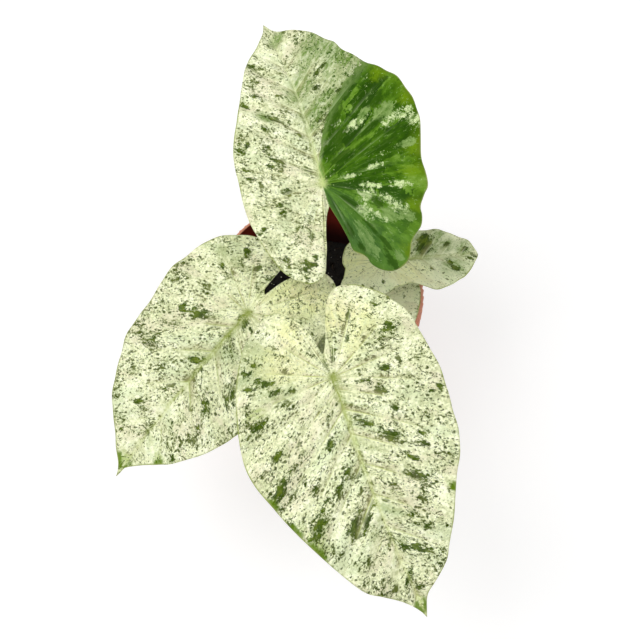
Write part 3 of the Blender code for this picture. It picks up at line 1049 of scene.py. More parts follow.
@dataclass
class Leaf:
    """One leaf: a heart-shaped blade, bent and cupped, on its own tapered stalk.

    Lengths are in millimetres. The outline is flat, with the seat, where the stalk joins, at its
    origin and the tip ahead. Left and right are as seen from above, looking at the tip. The fold,
    in degrees, is how steeply each half rises from the midrib, and the cup, in degrees for each
    millimetre, is how fast it levels out. The droops bend the tip and the lobes down the same way.
    Each mark is a patch of its tone, centred so far across the flat blade and ahead of the seat,
    and drawn out along the side veins.
    """

    name: str
    seat: tuple[float, float, float]
    heading: float
    pitch: float
    roll: float
    length: float
    notch: float
    left: Sequence[Point2]
    right: Sequence[Point2]
    fold: Point2
    cup: Point2
    droop: float
    lobe_droop: float
    bow: float
    stalk_angle: float
    stalk_radii: Point2
    skin: BladeFinish
    marks: dict[Tone, Sequence[Mark]] = field(default_factory=dict)
    green_half: int = 0
    green_from: float = 0.0
    rows: int = 150
    columns: int = 56
    veins: Point2 = (5.0, 8.0)
    quilt: float = 1.3
    wave: float = 1.3
    wave_length: float = 34.0
    phase: float = 0.0
    thickness: Point2 = (0.9, 0.35)
    relief: Relief = Relief()

    FORWARD = 0.45  # how steeply the side veins lean towards the tip
    ANCHOR_POWER = 1.4  # how far the side veins crowd at the seat
    VEIN_BEND = 0.03
    FAN = 0.56  # the share of the rows that fan out behind the seat
    CROWDING = 1.2  # how far the columns crowd at the midrib
    MARGIN_STEPS = 600
    LEAN = math.radians(33)  # the flecks' slant off the midrib's square
    APART = 370  # keeps the grain of the two halves apart
    LANE = 0.7  # how far the flow's grain is drawn out across the veins
    BRIM = 0.12  # how far the margin's rounding stands out
    MERGE = 0.004  # points closer than this are one
    FOOT_RING, FOOT_DEPTH = 8.5, 6.0  # the stalks' feet: off the crown's axis, and down in it
    SEAT_DEPTH = 0.8
    STALK_PULLS = (0.42, 0.22)  # how far it leaves the foot upright and meets the blade square
    STALK_STEPS = 60
    STALK_SIDES = 24

    def pose(self) -> Matrix:
        """Where the flat blade's frame lies in the plant, in millimetres.

        Returns:
            The frame's matrix.
        """
        turn = Matrix.Rotation(math.radians(self.heading - 90), 4, "Z")
        turn = turn @ Matrix.Rotation(math.radians(self.pitch), 4, "X")
        turn = turn @ Matrix.Rotation(math.radians(self.roll), 4, "Y")
        return Matrix.Translation(self.seat) @ turn

    def midrib(self, ahead: np.ndarray) -> np.ndarray:
        """How far the midrib bows sideways at each distance ahead."""
        return np.where(ahead > 0, self.bow * np.sin(np.pi * ahead / self.length), 0.0)

    def bend(self, flat: np.ndarray, lift: np.ndarray) -> np.ndarray:
        """Bend flat points into the blade's real shape.

        Args:
            flat: Points across and ahead, in millimetres.
            lift: Their height off the bent surface.

        Returns:
            Points in the plant's frame, in millimetres.
        """
        x, y = flat[..., 0], flat[..., 1]
        rib = self.midrib(y)
        right = x >= rib
        across = np.abs(x - rib)
        fold = np.radians(np.where(right, self.fold[1], self.fold[0]))
        cup = np.radians(np.where(right, self.cup[1], self.cup[0]))
        angle = fold - cup * across
        lean = angle * smoothstep(across, 0, 3)
        out = (np.sin(fold) - np.sin(angle)) / cup - lift * np.sin(lean)
        rise = (np.cos(angle) - np.cos(fold)) / cup + lift * np.cos(lean)
        droop = np.radians(np.where(y >= 0, self.droop, self.lobe_droop))
        turn = droop * y
        along = np.sin(turn) / droop + np.sin(turn) * rise
        height = -(1 - np.cos(turn)) / droop + np.cos(turn) * rise
        local = np.stack([rib + np.where(right, out, -out), along, height], axis=-1)
        pose = np.array(self.pose())
        return local @ pose[:3, :3].T + pose[:3, 3]

    def build(self, stem: bpy.types.Material) -> None:
        """Make the blade and the stalk, and hand them over.

        Args:
            stem: The stalk's material.
        """
        blade = new_piece(f"leaf_{self.name}", self._blade_mesh())
        hand_over(blade, "variegated_leaf", f"blade_{self.name}")
        stalk = new_piece(f"petiole_{self.name}", self._stalk_mesh(stem))
        hand_over(stalk, "green_stem", f"stalk_{self.name}")

    def _half(self, side: int) -> Half:
        """Lay one half of the blade out flat, in rows that follow the side veins.

        Args:
            side: 1 for the right half and -1 for the left.

        Returns:
            The flat points, and for each the vein number, the share across, the millimetres
            along its vein, the millimetres from the margin and the place along the margin.
        """
        outline = [(side * x, y) for x, y in (self.right if side > 0 else self.left)]
        count = self.MARGIN_STEPS
        margin = smooth_line([(0, -self.notch), *outline, (0, self.length)], count)
        reach = float(np.linalg.norm(np.diff(margin, axis=0), axis=1).sum())
        turn = np.argmax(margin[:, 1] >= self.FORWARD * np.abs(margin[:, 0])) / count
        fan = round(self.rows * self.FAN)
        steps = np.arange(self.rows + 1)
        ahead = np.clip((steps - fan) / (self.rows - fan), 0, 1)
        stops = np.where(steps <= fan, turn * steps / fan, turn + (1 - turn) * ahead)
        places = np.linspace(0, 1, count + 1)
        ends = np.stack([np.interp(stops, places, margin[:, k]) for k in (0, 1)], axis=1)
        anchors_y = self.length * ahead**self.ANCHOR_POWER
        anchors = np.stack([self.midrib(anchors_y), anchors_y], axis=1)
        span = ends - anchors
        way = unit(span)
        beside = np.stack([way[:, 1], -way[:, 0]], axis=1) * side
        ease = smoothstep(steps / fan, 0, 0.15) * self.VEIN_BEND * way[:, 1]
        push = np.linalg.norm(span, axis=1, keepdims=True) * ease[:, None]
        control = anchors + span / 2 + beside * push
        share = (np.linspace(0, 1, self.columns + 1) ** self.CROWDING)[None, :, None]
        flat = (1 - share) ** 2 * anchors[:, None] + 2 * share * (1 - share) * control[:, None]
        flat = flat + share**2 * ends[:, None]
        steps_mm = np.linalg.norm(np.diff(flat, axis=1), axis=2)
        along = np.concatenate([np.zeros((self.rows + 1, 1)), np.cumsum(steps_mm, axis=1)], axis=1)
        behind, beyond = self.veins
        number = np.where(steps <= fan, behind * steps / fan, behind + beyond * ahead)
        gap = np.linalg.norm(np.gradient(flat, axis=0), axis=2) / np.gradient(number)[:, None]
        wide = np.ones_like(along)
        return {
            "flat": flat,
            "number": number[:, None] * wide,
            "share": share[..., 0] * wide,
            "along": along,
            "edge": along[:, -1:] - along,
            "arc": (stops * reach)[:, None] * wide,
            "stop": stops[:, None] * wide,
            "gap": gap,
        }

    def _relief(self, half: Half, side: int) -> tuple[np.ndarray, np.ndarray]:
        """Quilt, wave and groove one half of the blade.

        Args:
            half: The half laid flat.
            side: 1 for the right half and -1 for the left.

        Returns:
            The height of the upper face and of the underside off the smooth surface.
        """
        cut = self.relief
        flat, share, stop, number = (half[key] for key in ("flat", "share", "stop", "number"))
        x, y = flat[..., 0], flat[..., 1]
        across = np.abs(x - self.midrib(y))
        room = smoothstep(half["gap"], 1.0, 12.0)
        swell = (0.5 - 0.5 * np.cos(2 * np.pi * number)) * room * (1 - 0.6 * share**4)
        ends = smoothstep(stop, 0.02, 0.16) * smoothstep(1 - stop, 0.0, 0.10)
        turn = 2 * np.pi * half["arc"] / self.wave_length + self.phase + side
        ripple = np.sin(turn) + 0.3 * np.sin(2.3 * turn + 1.1 * side)
        ruffle = self.wave * smoothstep(share, 0.35, 1.05) * ends * ripple
        sway = cut.sway * np.sin(x / cut.sway_across + self.phase)
        sway = sway * np.cos(y / cut.sway_ahead + 2 * self.phase)
        shape = self.quilt * swell + ruffle + sway * smoothstep(across, 2, 14)
        near = np.abs(number - np.round(number)) * half["gap"]
        fade = (1 - share) * smoothstep(half["along"], 1.5, 6) * smoothstep(number, 1.2, 1.8)
        vein = rounded_line(near, cut.vein_width) * fade
        groove = rounded_line(across, cut.groove_width) * smoothstep(y, -6, 0)
        upper = shape - cut.vein_depth * vein - cut.groove_depth * groove
        taper = np.clip(1 - y / self.length, 0, 1) ** 0.7 * smoothstep(y, -7, -1)
        keel_width = cut.keel_least + cut.keel_width * taper
        keel = np.sqrt(np.clip(1 - (across / keel_width) ** 2, 0, 1)) * cut.keel_depth * taper
        thick = self.thickness[0] + (self.thickness[1] - self.thickness[0]) * share**0.6
        ridge = cut.ridge_depth * rounded_line(near, cut.ridge_width) * fade
        return upper, shape - thick - keel - ridge

    def _maps(self, there: Half, side: int) -> dict[Map, np.ndarray]:
        """The UV layers over both faces of one half.

        Args:
            there: The half's flat values, over both faces.
            side: 1 for the right half and -1 for the left.

        Returns:
            For each layer, a pair of numbers for each point.
        """
        x, y = there["flat"][..., 0], there["flat"][..., 1]
        rib = self.midrib(y)
        drawn = np.abs(x - rib)
        lane = there["arc"] * self.LANE + (0 if side > 0 else self.APART)
        slant, beside = math.cos(self.LEAN), math.sin(self.LEAN)
        lean = [drawn * slant + y * beside, y * slant - drawn * beside - self.APART * side]
        return {
            Map.PLAN: np.stack([x - rib, y], -1) / UV_UNIT,
            Map.LEAN: np.stack(lean, -1) / UV_UNIT,
            Map.FLOW: np.stack([there["along"], lane], -1) / UV_UNIT,
            Map.GRID: np.stack([there["number"], there["share"]], -1),
        }

    def _fields(self, there: Half, halves: dict[int, Half], side: int) -> dict[str, np.ndarray]:
        """How strongly each tone's marks cover each point.

        Args:
            there: The half's flat values, over both faces.
            halves: Both halves laid flat, by side.
            side: 1 for the right half and -1 for the left.

        Returns:
            For each field, a number for each point.
        """
        flat = there["flat"]
        fields = {tone.value: np.zeros(flat.shape[:-1]) for tone in Tone}
        for tone, marks in self.marks.items():
            for across, ahead, long, wide in marks:
                centre = np.array([across, ahead])
                half = halves[1 if across >= self.midrib(centre[1]) else -1]["flat"]
                distance = np.linalg.norm(half - centre, axis=2)
                row, column = np.unravel_index(np.argmin(distance), distance.shape)
                column = min(max(column, 1), self.columns - 1)
                way = unit(half[row, column + 1] - half[row, column - 1])
                along = ((flat - centre) @ way) / long
                aside = ((flat - centre) @ np.array([-way[1], way[0]])) / wide
                cover = np.clip(1 - 0.5 * np.hypot(along, aside), 0, 1)
                fields[tone.value] = np.maximum(fields[tone.value], cover)
        if side == self.green_half:
            limit = self.green_from - 1.9 * (1 - there["share"]) ** 6
            fields[Tone.GREEN.value] = np.clip(0.5 + (limit - there["number"]) * 0.9, 0, 1.5)
        return {**fields, EDGE: there["edge"]}

    def _blade_mesh(self) -> bpy.types.Mesh:
        """The closed blade: both faces and the rounded margin, with its UV layers and fields.

        Returns:
            The blade's mesh, with its two materials.
        """
        halves = {side: self._half(side) for side in (1, -1)}
        points, faces, below = [], [], []
        maps: dict[Map, list[np.ndarray]] = {layer: [] for layer in Map}
        names = [*(tone.value for tone in Tone), EDGE]
        fields: dict[str, list[np.ndarray]] = {name: [] for name in names}
        start = 0
        for side, half in halves.items():
            upper, lower = self._relief(half, side)
            top, bottom = self.bend(half["flat"], upper), self.bend(half["flat"], lower)
            brim = (top[:, -1] + bottom[:, -1]) / 2 + self.BRIM * unit(top[:, -1] - top[:, -2])
            sheet = np.concatenate([top, brim[:, None], bottom[:, ::-1]], axis=1)
            there = {k: np.concatenate([v, v[:, -1:], v[:, ::-1]], axis=1) for k, v in half.items()}
            rows, wide = sheet.shape[:2]
            index = start + np.arange(rows * wide).reshape(rows, wide)
            corners = [index[:-1, :-1], index[:-1, 1:], index[1:, 1:], index[1:, :-1]]
            if side < 0:
                corners = corners[::-1]
            faces.append(np.stack(corners, axis=-1).reshape(-1, 4))
            below.append(np.tile(np.arange(wide - 1) > self.columns, rows - 1))
            points.append(sheet.reshape(-1, 3))
            start += rows * wide
            for layer, pairs in self._maps(there, side).items():
                maps[layer].append(pairs.reshape(-1, 2))
            for name, values in self._fields(there, halves, side).items():
                fields[name].append(values.reshape(-1))
        mesh = bpy.data.meshes.new(f"leaf_{self.name}")
        quads = np.concatenate(faces)
        mesh.from_pydata((np.concatenate(points) * MM).tolist(), [], quads.tolist())
        loops = quads.reshape(-1)
        for layer, parts in maps.items():
            pairs = np.concatenate(parts)[loops].reshape(-1).astype(np.float32)
            mesh.uv_layers.new(name=layer.value).data.foreach_set("uv", pairs)
        for name, parts in fields.items():
            kept = mesh.attributes.new(name, "FLOAT", "POINT")
            kept.data.foreach_set("value", np.concatenate(parts))
        mesh.polygons.foreach_set("material_index", np.concatenate(below).astype(np.int32))
        mesh.materials.append(self.skin.make())
        mesh.materials.append(self.skin.underneath().make())
        builder = bmesh.new()
        builder.from_mesh(mesh)
        bmesh.ops.remove_doubles(builder, verts=builder.verts, dist=self.MERGE * MM)
        bmesh.ops.dissolve_degenerate(builder, edges=builder.edges, dist=self.MERGE / 2 * MM)
        bmesh.ops.recalc_face_normals(builder, faces=builder.faces)
        builder.to_mesh(mesh)
        builder.free()
        return mesh

    def _stalk_mesh(self, stem: bpy.types.Material) -> bpy.types.Mesh:
        """The stalk: a tapered stem that follows its curve from the crown to the seat.

        Args:
            stem: Its material.

        Returns:
            The stalk's mesh, with its material.
        """
        angle = math.radians(self.stalk_angle)
        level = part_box("crown")[1].z / MM - self.FOOT_DEPTH
        foot = Vector((self.FOOT_RING * math.cos(angle), self.FOOT_RING * math.sin(angle), level))
        normal = (self.pose().to_3x3() @ Vector((0, 0, 1))).normalized()
        top = Vector(self.seat) - normal * self.SEAT_DEPTH
        reach = (top - foot).length
        rise, dive = self.STALK_PULLS
        a, b, c, d = foot, foot + Vector((0, 0, rise * reach)), top - normal * dive * reach, top
        path = []
        for t in np.linspace(0, 1, self.STALK_STEPS + 1):
            s = 1 - t
            path.append(s**3 * a + 3 * s * s * t * b + 3 * s * t * t * c + t**3 * d)
        line = bpy.data.meshes.new("stalk_line")
        line.from_pydata([p * MM for p in path], [(k, k + 1) for k in range(self.STALK_STEPS)], [])
        rig = Rig(f"stalk_{self.name}")
        low = rig.size("Foot radius", self.stalk_radii[0] * MM)
        high = rig.size("Top radius", self.stalk_radii[1] * MM)
        sides = rig.size("Sides", self.STALK_SIDES, "NodeSocketInt")
        curve = rig.first("GeometryNodeMeshToCurve", {"Mesh": rig.base})
        share = rig.first("GeometryNodeSplineParameter")
        widening = rig.maths("SUBTRACT", high, low)
        widening = rig.maths("MULTIPLY", rig.maths("POWER", share, 0.8), widening)
        radius = rig.maths("ADD", low, widening)
        inputs = {"Resolution": sides, "Radius": 1.0}
        ring = rig.first("GeometryNodeCurvePrimitiveCircle", inputs)
        tube = rig.first(
            "GeometryNodeCurveToMesh",
            {"Curve": curve, "Profile Curve": ring, "Scale": radius, "Fill Caps": True},
        )
        return rig.grow(rig.dressed(tube, stem), line)


@dataclass(frozen=True)
class StemFinish:
    """Smooth olive-green stem with pale streaks along it."""

    name: str = "stem skin"
    green: Colour = tint(128, 144, 74)
    pale: Colour = tint(186, 194, 130)
    dark: Colour = tint(88, 104, 46)

    def make(self) -> bpy.types.Material:
        """Build the material.

        Returns:
            The finished material.
        """
        paint = Paint(self.name)
        place = paint.place()
        streaks = paint.noise(paint.stretched(place, (1, 1, 0.12)), 700, 4, 0.6)
        colour = paint.over(self.green, self.pale, streaks, 0.46, 0.62)
        blots = paint.noise(paint.stretched(place, (1, 1, 0.3), (0.3, 0.1, 0)), 420, 4, 0.65)
        colour = paint.over(colour, self.dark, blots, 0.56, 0.62, 0.8)
        paint.bump(paint.noise(paint.stretched(place, (1, 1, 0.06)), 1600, 2), 0.0001)
        return paint.finish(colour, 0.42, Specular_IOR_Level=0.45)


@dataclass(frozen=True)
class PotFinish:
    """Terracotta-coloured plastic, a little faded and scuffed."""

    name: str = "terracotta plastic"
    body: Colour = tint(206, 134, 106)
    faded: Colour = tint(224, 166, 142)
    scuff: Colour = tint(170, 128, 108)

    def make(self) -> bpy.types.Material:
        """Build the material.

        Returns:
            The finished material.
        """
        paint = Paint(self.name)
        place = paint.place()
        cloud = paint.noise(place, 45, 5, 0.6)
        colour = paint.over(self.body, self.faded, cloud, 0.36, 0.66, 0.6)
        scuffs = paint.noise(paint.stretched(place, (1, 1, 0.25), (0.2, 0.5, 0)), 170, 5, 0.7)
        colour = paint.over(colour, self.scuff, scuffs, 0.58, 0.70, 0.45)
        paint.bump(paint.noise(place, 2500, 3, 0.6), 0.00006)
        rough = paint.between(cloud, 0.3, 0.7, 0.48, 0.62)
        return paint.finish(colour, rough, Specular_IOR_Level=0.3)


@dataclass(frozen=True)
class InnerShadeFinish:
    """The pot's inner wall with painted shade: deep red near the lip, and nearly black down at the
    mix.
    """

    # painted shade: this material darkens the inner wall from deep red near the lip to near black
    # at the mix
    name: str = "damp inner wall"
    red_shade: Colour = tint(112, 32, 20)
    black_shade: Colour = tint(38, 10, 8)
    low: float = 0.078
    high: float = 0.104

    def make(self) -> bpy.types.Material:
        """Build the material.

        Returns:
            The finished material.
        """
        paint = Paint(self.name)
        place = paint.place()
        cloud = paint.noise(place, 90, 5, 0.6)
        shade_height = paint.add(paint.parts(place)[2], paint.swing(cloud, 0.02))
        paint.bump(paint.noise(place, 2500, 3, 0.6), 0.00006)
        rough = paint.between(cloud, 0.3, 0.7, 0.5, 0.66)
        # painted shade, darker lower down the inner wall
        colour = paint.over(self.black_shade, self.red_shade, shade_height, self.low, self.high)
        return paint.finish(colour, rough, Specular_IOR_Level=0.2)


@dataclass(frozen=True)
class EarthFinish:
    """Dark moist mix, from near black to brown."""

    name: str = "potting mix"
    dark: Colour = tint(13, 10, 8)
    brown: Colour = tint(24, 19, 15)
    dry: Colour = tint(50, 44, 37)
    size: float = 0.004

    def make(self) -> bpy.types.Material:
        """Build the material.

        Returns:
            The finished material.
        """
        paint = Paint(self.name)
        place = paint.place()
        lump = paint.noise(place, 1 / self.size, 5, 0.65)
        colour = paint.over(self.dark, self.brown, lump, 0.4, 0.64)
        aside = paint.stretched(place, (1, 1, 1), (0.4, 0.2, 0.1))
        chip = paint.noise(aside, 2.6 / self.size, 3, 0.6)
        colour = paint.over(colour, self.dry, chip, 0.6, 0.7, 0.7)
        paint.bump(lump, 0.0008)
        return paint.finish(colour, 0.88, Specular_IOR_Level=0.25)


@dataclass(frozen=True)
class GritFinish:
    """Chalky pale grit."""

    name: str = "perlite grit"
    pale: Colour = tint(226, 224, 214)
    dull: Colour = tint(172, 166, 154)

    def make(self) -> bpy.types.Material:
        """Build the material.

        Returns:
            The finished material.
        """
        paint = Paint(self.name)
        cloud = paint.noise(paint.place(), 900, 4, 0.6)
        paint.bump(cloud, 0.0002)
        return paint.finish(paint.over(self.dull, self.pale, cloud, 0.4, 0.6), 0.8)


@dataclass(frozen=True)
class BarkFinish:
    """The crown's rough skin, from brown to a dull green."""

    name: str = "crown skin"
    brown: Colour = tint(88, 70, 44)
    green: Colour = tint(136, 128, 78)

    def make(self) -> bpy.types.Material:
        """Build the material.

        Returns:
            The finished material.
        """
        paint = Paint(self.name)
        bark = paint.noise(paint.stretched(paint.place(), (1, 1, 0.5)), 300, 5, 0.65)
        paint.bump(bark, 0.0006)
        return paint.finish(paint.over(self.brown, self.green, bark, 0.4, 0.62), 0.7)


@dataclass
class Pot:
    """The nursery pot: a tapered wall, a scalloped band under a smooth lip, and a slotted floor.

    Lengths are in millimetres.
    """

    finish: PotFinish = field(default_factory=PotFinish)
    # the inner wall's material, which is painted shade
    inside: InnerShadeFinish = field(default_factory=InnerShadeFinish)
    height: float = 110.0
    rim: float = 62.5
    band: float = 13.0
    lip: float = 2.8
    wall: float = 1.5
    floor: float = 2.0
    foot: float = 44.0
    shoulder: float = 59.2
    ribs: int = 88
    rib_radius: float = 1.4
    slots: int = 8
    slot_ring: float = 35.0
    slot_half: float = 2.5
    slot_radius: float = 3.0
    segments: int = 192

    LIP_ROUND = 0.6
    LIP_INSET = 1.2  # how far the lip's outer edge lies inside the ribs
    LIP_DEPTH = 1.5
    BEVEL = 0.6  # the slope at the ends of the band
    FOOT_ROUND = 2.0
    FOOT_WIDTH = 5.0  # the ring that the pot stands on
    FOOT_RIM = 0.8  # how far the underside stands off the ground inside the foot
    LEVELS = (20, 40, 60, 80)  # the heights at which the wall is drawn
    DOME = 0.6  # the ribs' tops, as a share of a round one
    SLOT_STEPS = 8  # round each end of a slot
    CREASE = math.radians(42)  # edges sharper than this stay sharp

    def outer(self, height: float) -> float:
        """The outer wall's radius below the band."""
        return self.foot + (self.shoulder - self.foot) * height / (self.height - self.band)

    def build(self) -> None:
        """Make the pot and hand it over."""
        skin = self.finish.make()
        body = self._body(skin)
        ribs = self._ribs(skin)
        ribs.polygons.foreach_set("material_index", [0] * len(ribs.polygons))
        builder = bmesh.new()
        builder.from_mesh(body)
        builder.from_mesh(ribs)
        pot = new_piece("ribbed_pot", to_mesh(builder, "ribbed_pot", *body.materials))
        pot.data.set_sharp_from_angle(angle=self.CREASE)
        hand_over(pot, "terracotta_plastic", "pot")

    def _profile(self) -> list[Point2]:
        """The turned body's profile, from the middle of its underside to the middle of its floor.

        Returns:
            Points of radius and height.
        """
        low = self.height - self.band
        core = self.rim - self.rib_radius
        inner = self.rim - self.lip
        soft, tight = self.FOOT_ROUND, self.LIP_ROUND
        hollow = self.foot - self.FOOT_WIDTH
        points: list[Point2] = [(0, self.FOOT_RIM), (hollow - 1, self.FOOT_RIM), (hollow, 0)]
        points += self._arc(self.outer(soft) - soft, soft, soft, (-90, 0), range(5))
        points += [(self.outer(z), z) for z in (*self.LEVELS, low - self.BEVEL)]
        points += [(core - 0.5, low), (core, low + self.BEVEL), (core, self.height - 2.4)]
        top = self.height - tight
        points += self._arc(self.rim - self.LIP_INSET - tight, top, tight, (-60, 90), range(7))
        points += self._arc(inner + tight, top, tight, (90, 180), range(1, 7))
        step = 1.5  # the slope from the band's inner face down to the wall's
        points += [(inner - 0.4, low + step), (self.outer(low - step) - self.wall, low - step)]
        inside = (*reversed(self.LEVELS), self.floor + soft)
        points += [(self.outer(z) - self.wall, z) for z in inside]
        return points + [(self.outer(self.floor) - self.wall - soft, self.floor), (0, self.floor)]

    @staticmethod
    def _arc(across: float, up: float, radius: float, turns: Point2, steps: range) -> list[Point2]:
        """Points round an arc.

        Args:
            across: The distance of its centre from the axis.
            up: The height of its centre.
            radius: Its radius.
            turns: Where it starts and ends, in degrees.
            steps: Which of its steps are drawn; the last one is its end.

        Returns:
            Points of radius and height.
        """
        points = []
        for k in steps:
            turn = math.radians(turns[0] + (turns[1] - turns[0]) * k / (steps.stop - 1))
            points.append((across + radius * math.cos(turn), up + radius * math.sin(turn)))
        return points

    def _body(self, skin: bpy.types.Material) -> bpy.types.Mesh:
        """The turned body with its drainage slots cut through.

        Args:
            skin: The pot's material.

        Returns:
            The body's mesh, with its two materials.
        """
        builder = turned(self._profile(), self.segments)
        for face in builder.faces:
            middle = face.calc_center_median() / MM
            band = middle.z > self.height - self.band
            edge = self.rim - self.lip + 0.2 if band else self.outer(middle.z) - self.wall / 2
            below_lip = self.floor - 0.5 < middle.z < self.height - 0.4
            # the inner faces below the lip take the second material, the inner wall's painted shade
            face.material_index = int(below_lip and middle.xy.length < edge)
        body = new_piece("pot_body", to_mesh(builder, "pot_body", skin, self.inside.make()))
        cutter = new_piece("slot_bars", to_mesh(self._slot_bars(), "slot_bars"))
        cut = body.modifiers.new("slots", "BOOLEAN")
        cut.operation, cut.solver, cut.object = "DIFFERENCE", "EXACT", cutter
        graph = bpy.context.evaluated_depsgraph_get()
        mesh = bpy.data.meshes.new_from_object(body.evaluated_get(graph), depsgraph=graph)
        for spare in (body, cutter):
            bpy.data.objects.remove(spare)
        return mesh

    def _slot_bars(self) -> bmesh.types.BMesh:
        """A ring of upright round-ended bars.

        Returns:
            The bars, in metres.
        """
        builder = bmesh.new()
        for slot in range(self.slots):
            turn = Matrix.Rotation(2 * math.pi * (slot + 0.5) / self.slots, 3, "Z")
            outline = []
            for end in (1, -1):
                for k in range(self.SLOT_STEPS + 1):
                    angle = math.pi * k / self.SLOT_STEPS + (0 if end > 0 else math.pi)
                    x = self.slot_ring + self.slot_radius * math.cos(angle)
                    y = end * self.slot_half + self.slot_radius * math.sin(angle)
                    outline.append((x, y))
            low, high = (
                [builder.verts.new(turn @ Vector((x, y, z)) * MM) for x, y in outline]
                for z in (-self.floor, 2 * self.floor)
            )
            builder.faces.new(reversed(low))
            builder.faces.new(high)
            for j, corner in enumerate(low):
                after = (j + 1) % len(low)
                builder.faces.new((corner, low[after], high[after], high[j]))
        return builder

    def _ribs(self, skin: bpy.types.Material) -> bpy.types.Mesh:
        """The scallops: upright round bars with domed tops, set round the band.

        Args:
            skin: The pot's material.

        Returns:
            The ribs' mesh.
        """
        rig = Rig("band_ribs")
        count = rig.size("Ribs", self.ribs, "NodeSocketInt")
        radius = rig.size("Rib radius", self.rib_radius * MM)
        circle = rig.size("Ring radius", (self.rim - self.rib_radius) * MM)
        bottom = rig.size("Bottom", (self.height - self.band) * MM)
        ends = self.height - self.LIP_DEPTH - self.rib_radius * self.DOME
        top = rig.size("Top", ends * MM)
        tall = rig.maths("SUBTRACT", top, bottom)
        bar = rig.first(
            "GeometryNodeMeshCylinder",
            {"Vertices": 16, "Side Segments": 1, "Radius": radius, "Depth": tall},
        )
        inputs = {"Segments": 16, "Rings": 8, "Radius": radius}
        dome = rig.first("GeometryNodeMeshUVSphere", inputs)
        above = rig.first("ShaderNodeCombineXYZ", {"Z": rig.maths("MULTIPLY", tall, 0.5)})
        inputs = {"Geometry": dome, "Translation": above, "Scale": (1, 1, self.DOME)}
        dome = rig.first("GeometryNodeTransform", inputs)
        join = rig.node("GeometryNodeJoinGeometry")
        for part in (dome, bar):
            rig.tree.links.new(part, join.inputs[0])
        inputs = {"Vertices": count, "Radius": circle}
        ring = rig.first("GeometryNodeMeshCircle", inputs, fill_type="NONE")
        middle = rig.maths("ADD", bottom, rig.maths("MULTIPLY", tall, 0.5))
        raised = rig.first("ShaderNodeCombineXYZ", {"Z": middle})
        ring = rig.first("GeometryNodeTransform", {"Geometry": ring, "Translation": raised})
        inputs = {"Points": ring, "Instance": join.outputs[0]}
        return rig.grow(rig.dressed(rig.first("GeometryNodeInstanceOnPoints", inputs), skin))


@dataclass(frozen=True)
class Litter:
    """One kind of piece strewn over the mix.

    It has its label, how many lie on a square metre, the least and the most it is scaled by, its
    radius in crumb sizes and its material.
    """

    label: str
    density: float
    least: tuple[float, float, float]
    most: tuple[float, float, float]
    radius: float
    material: bpy.types.Material


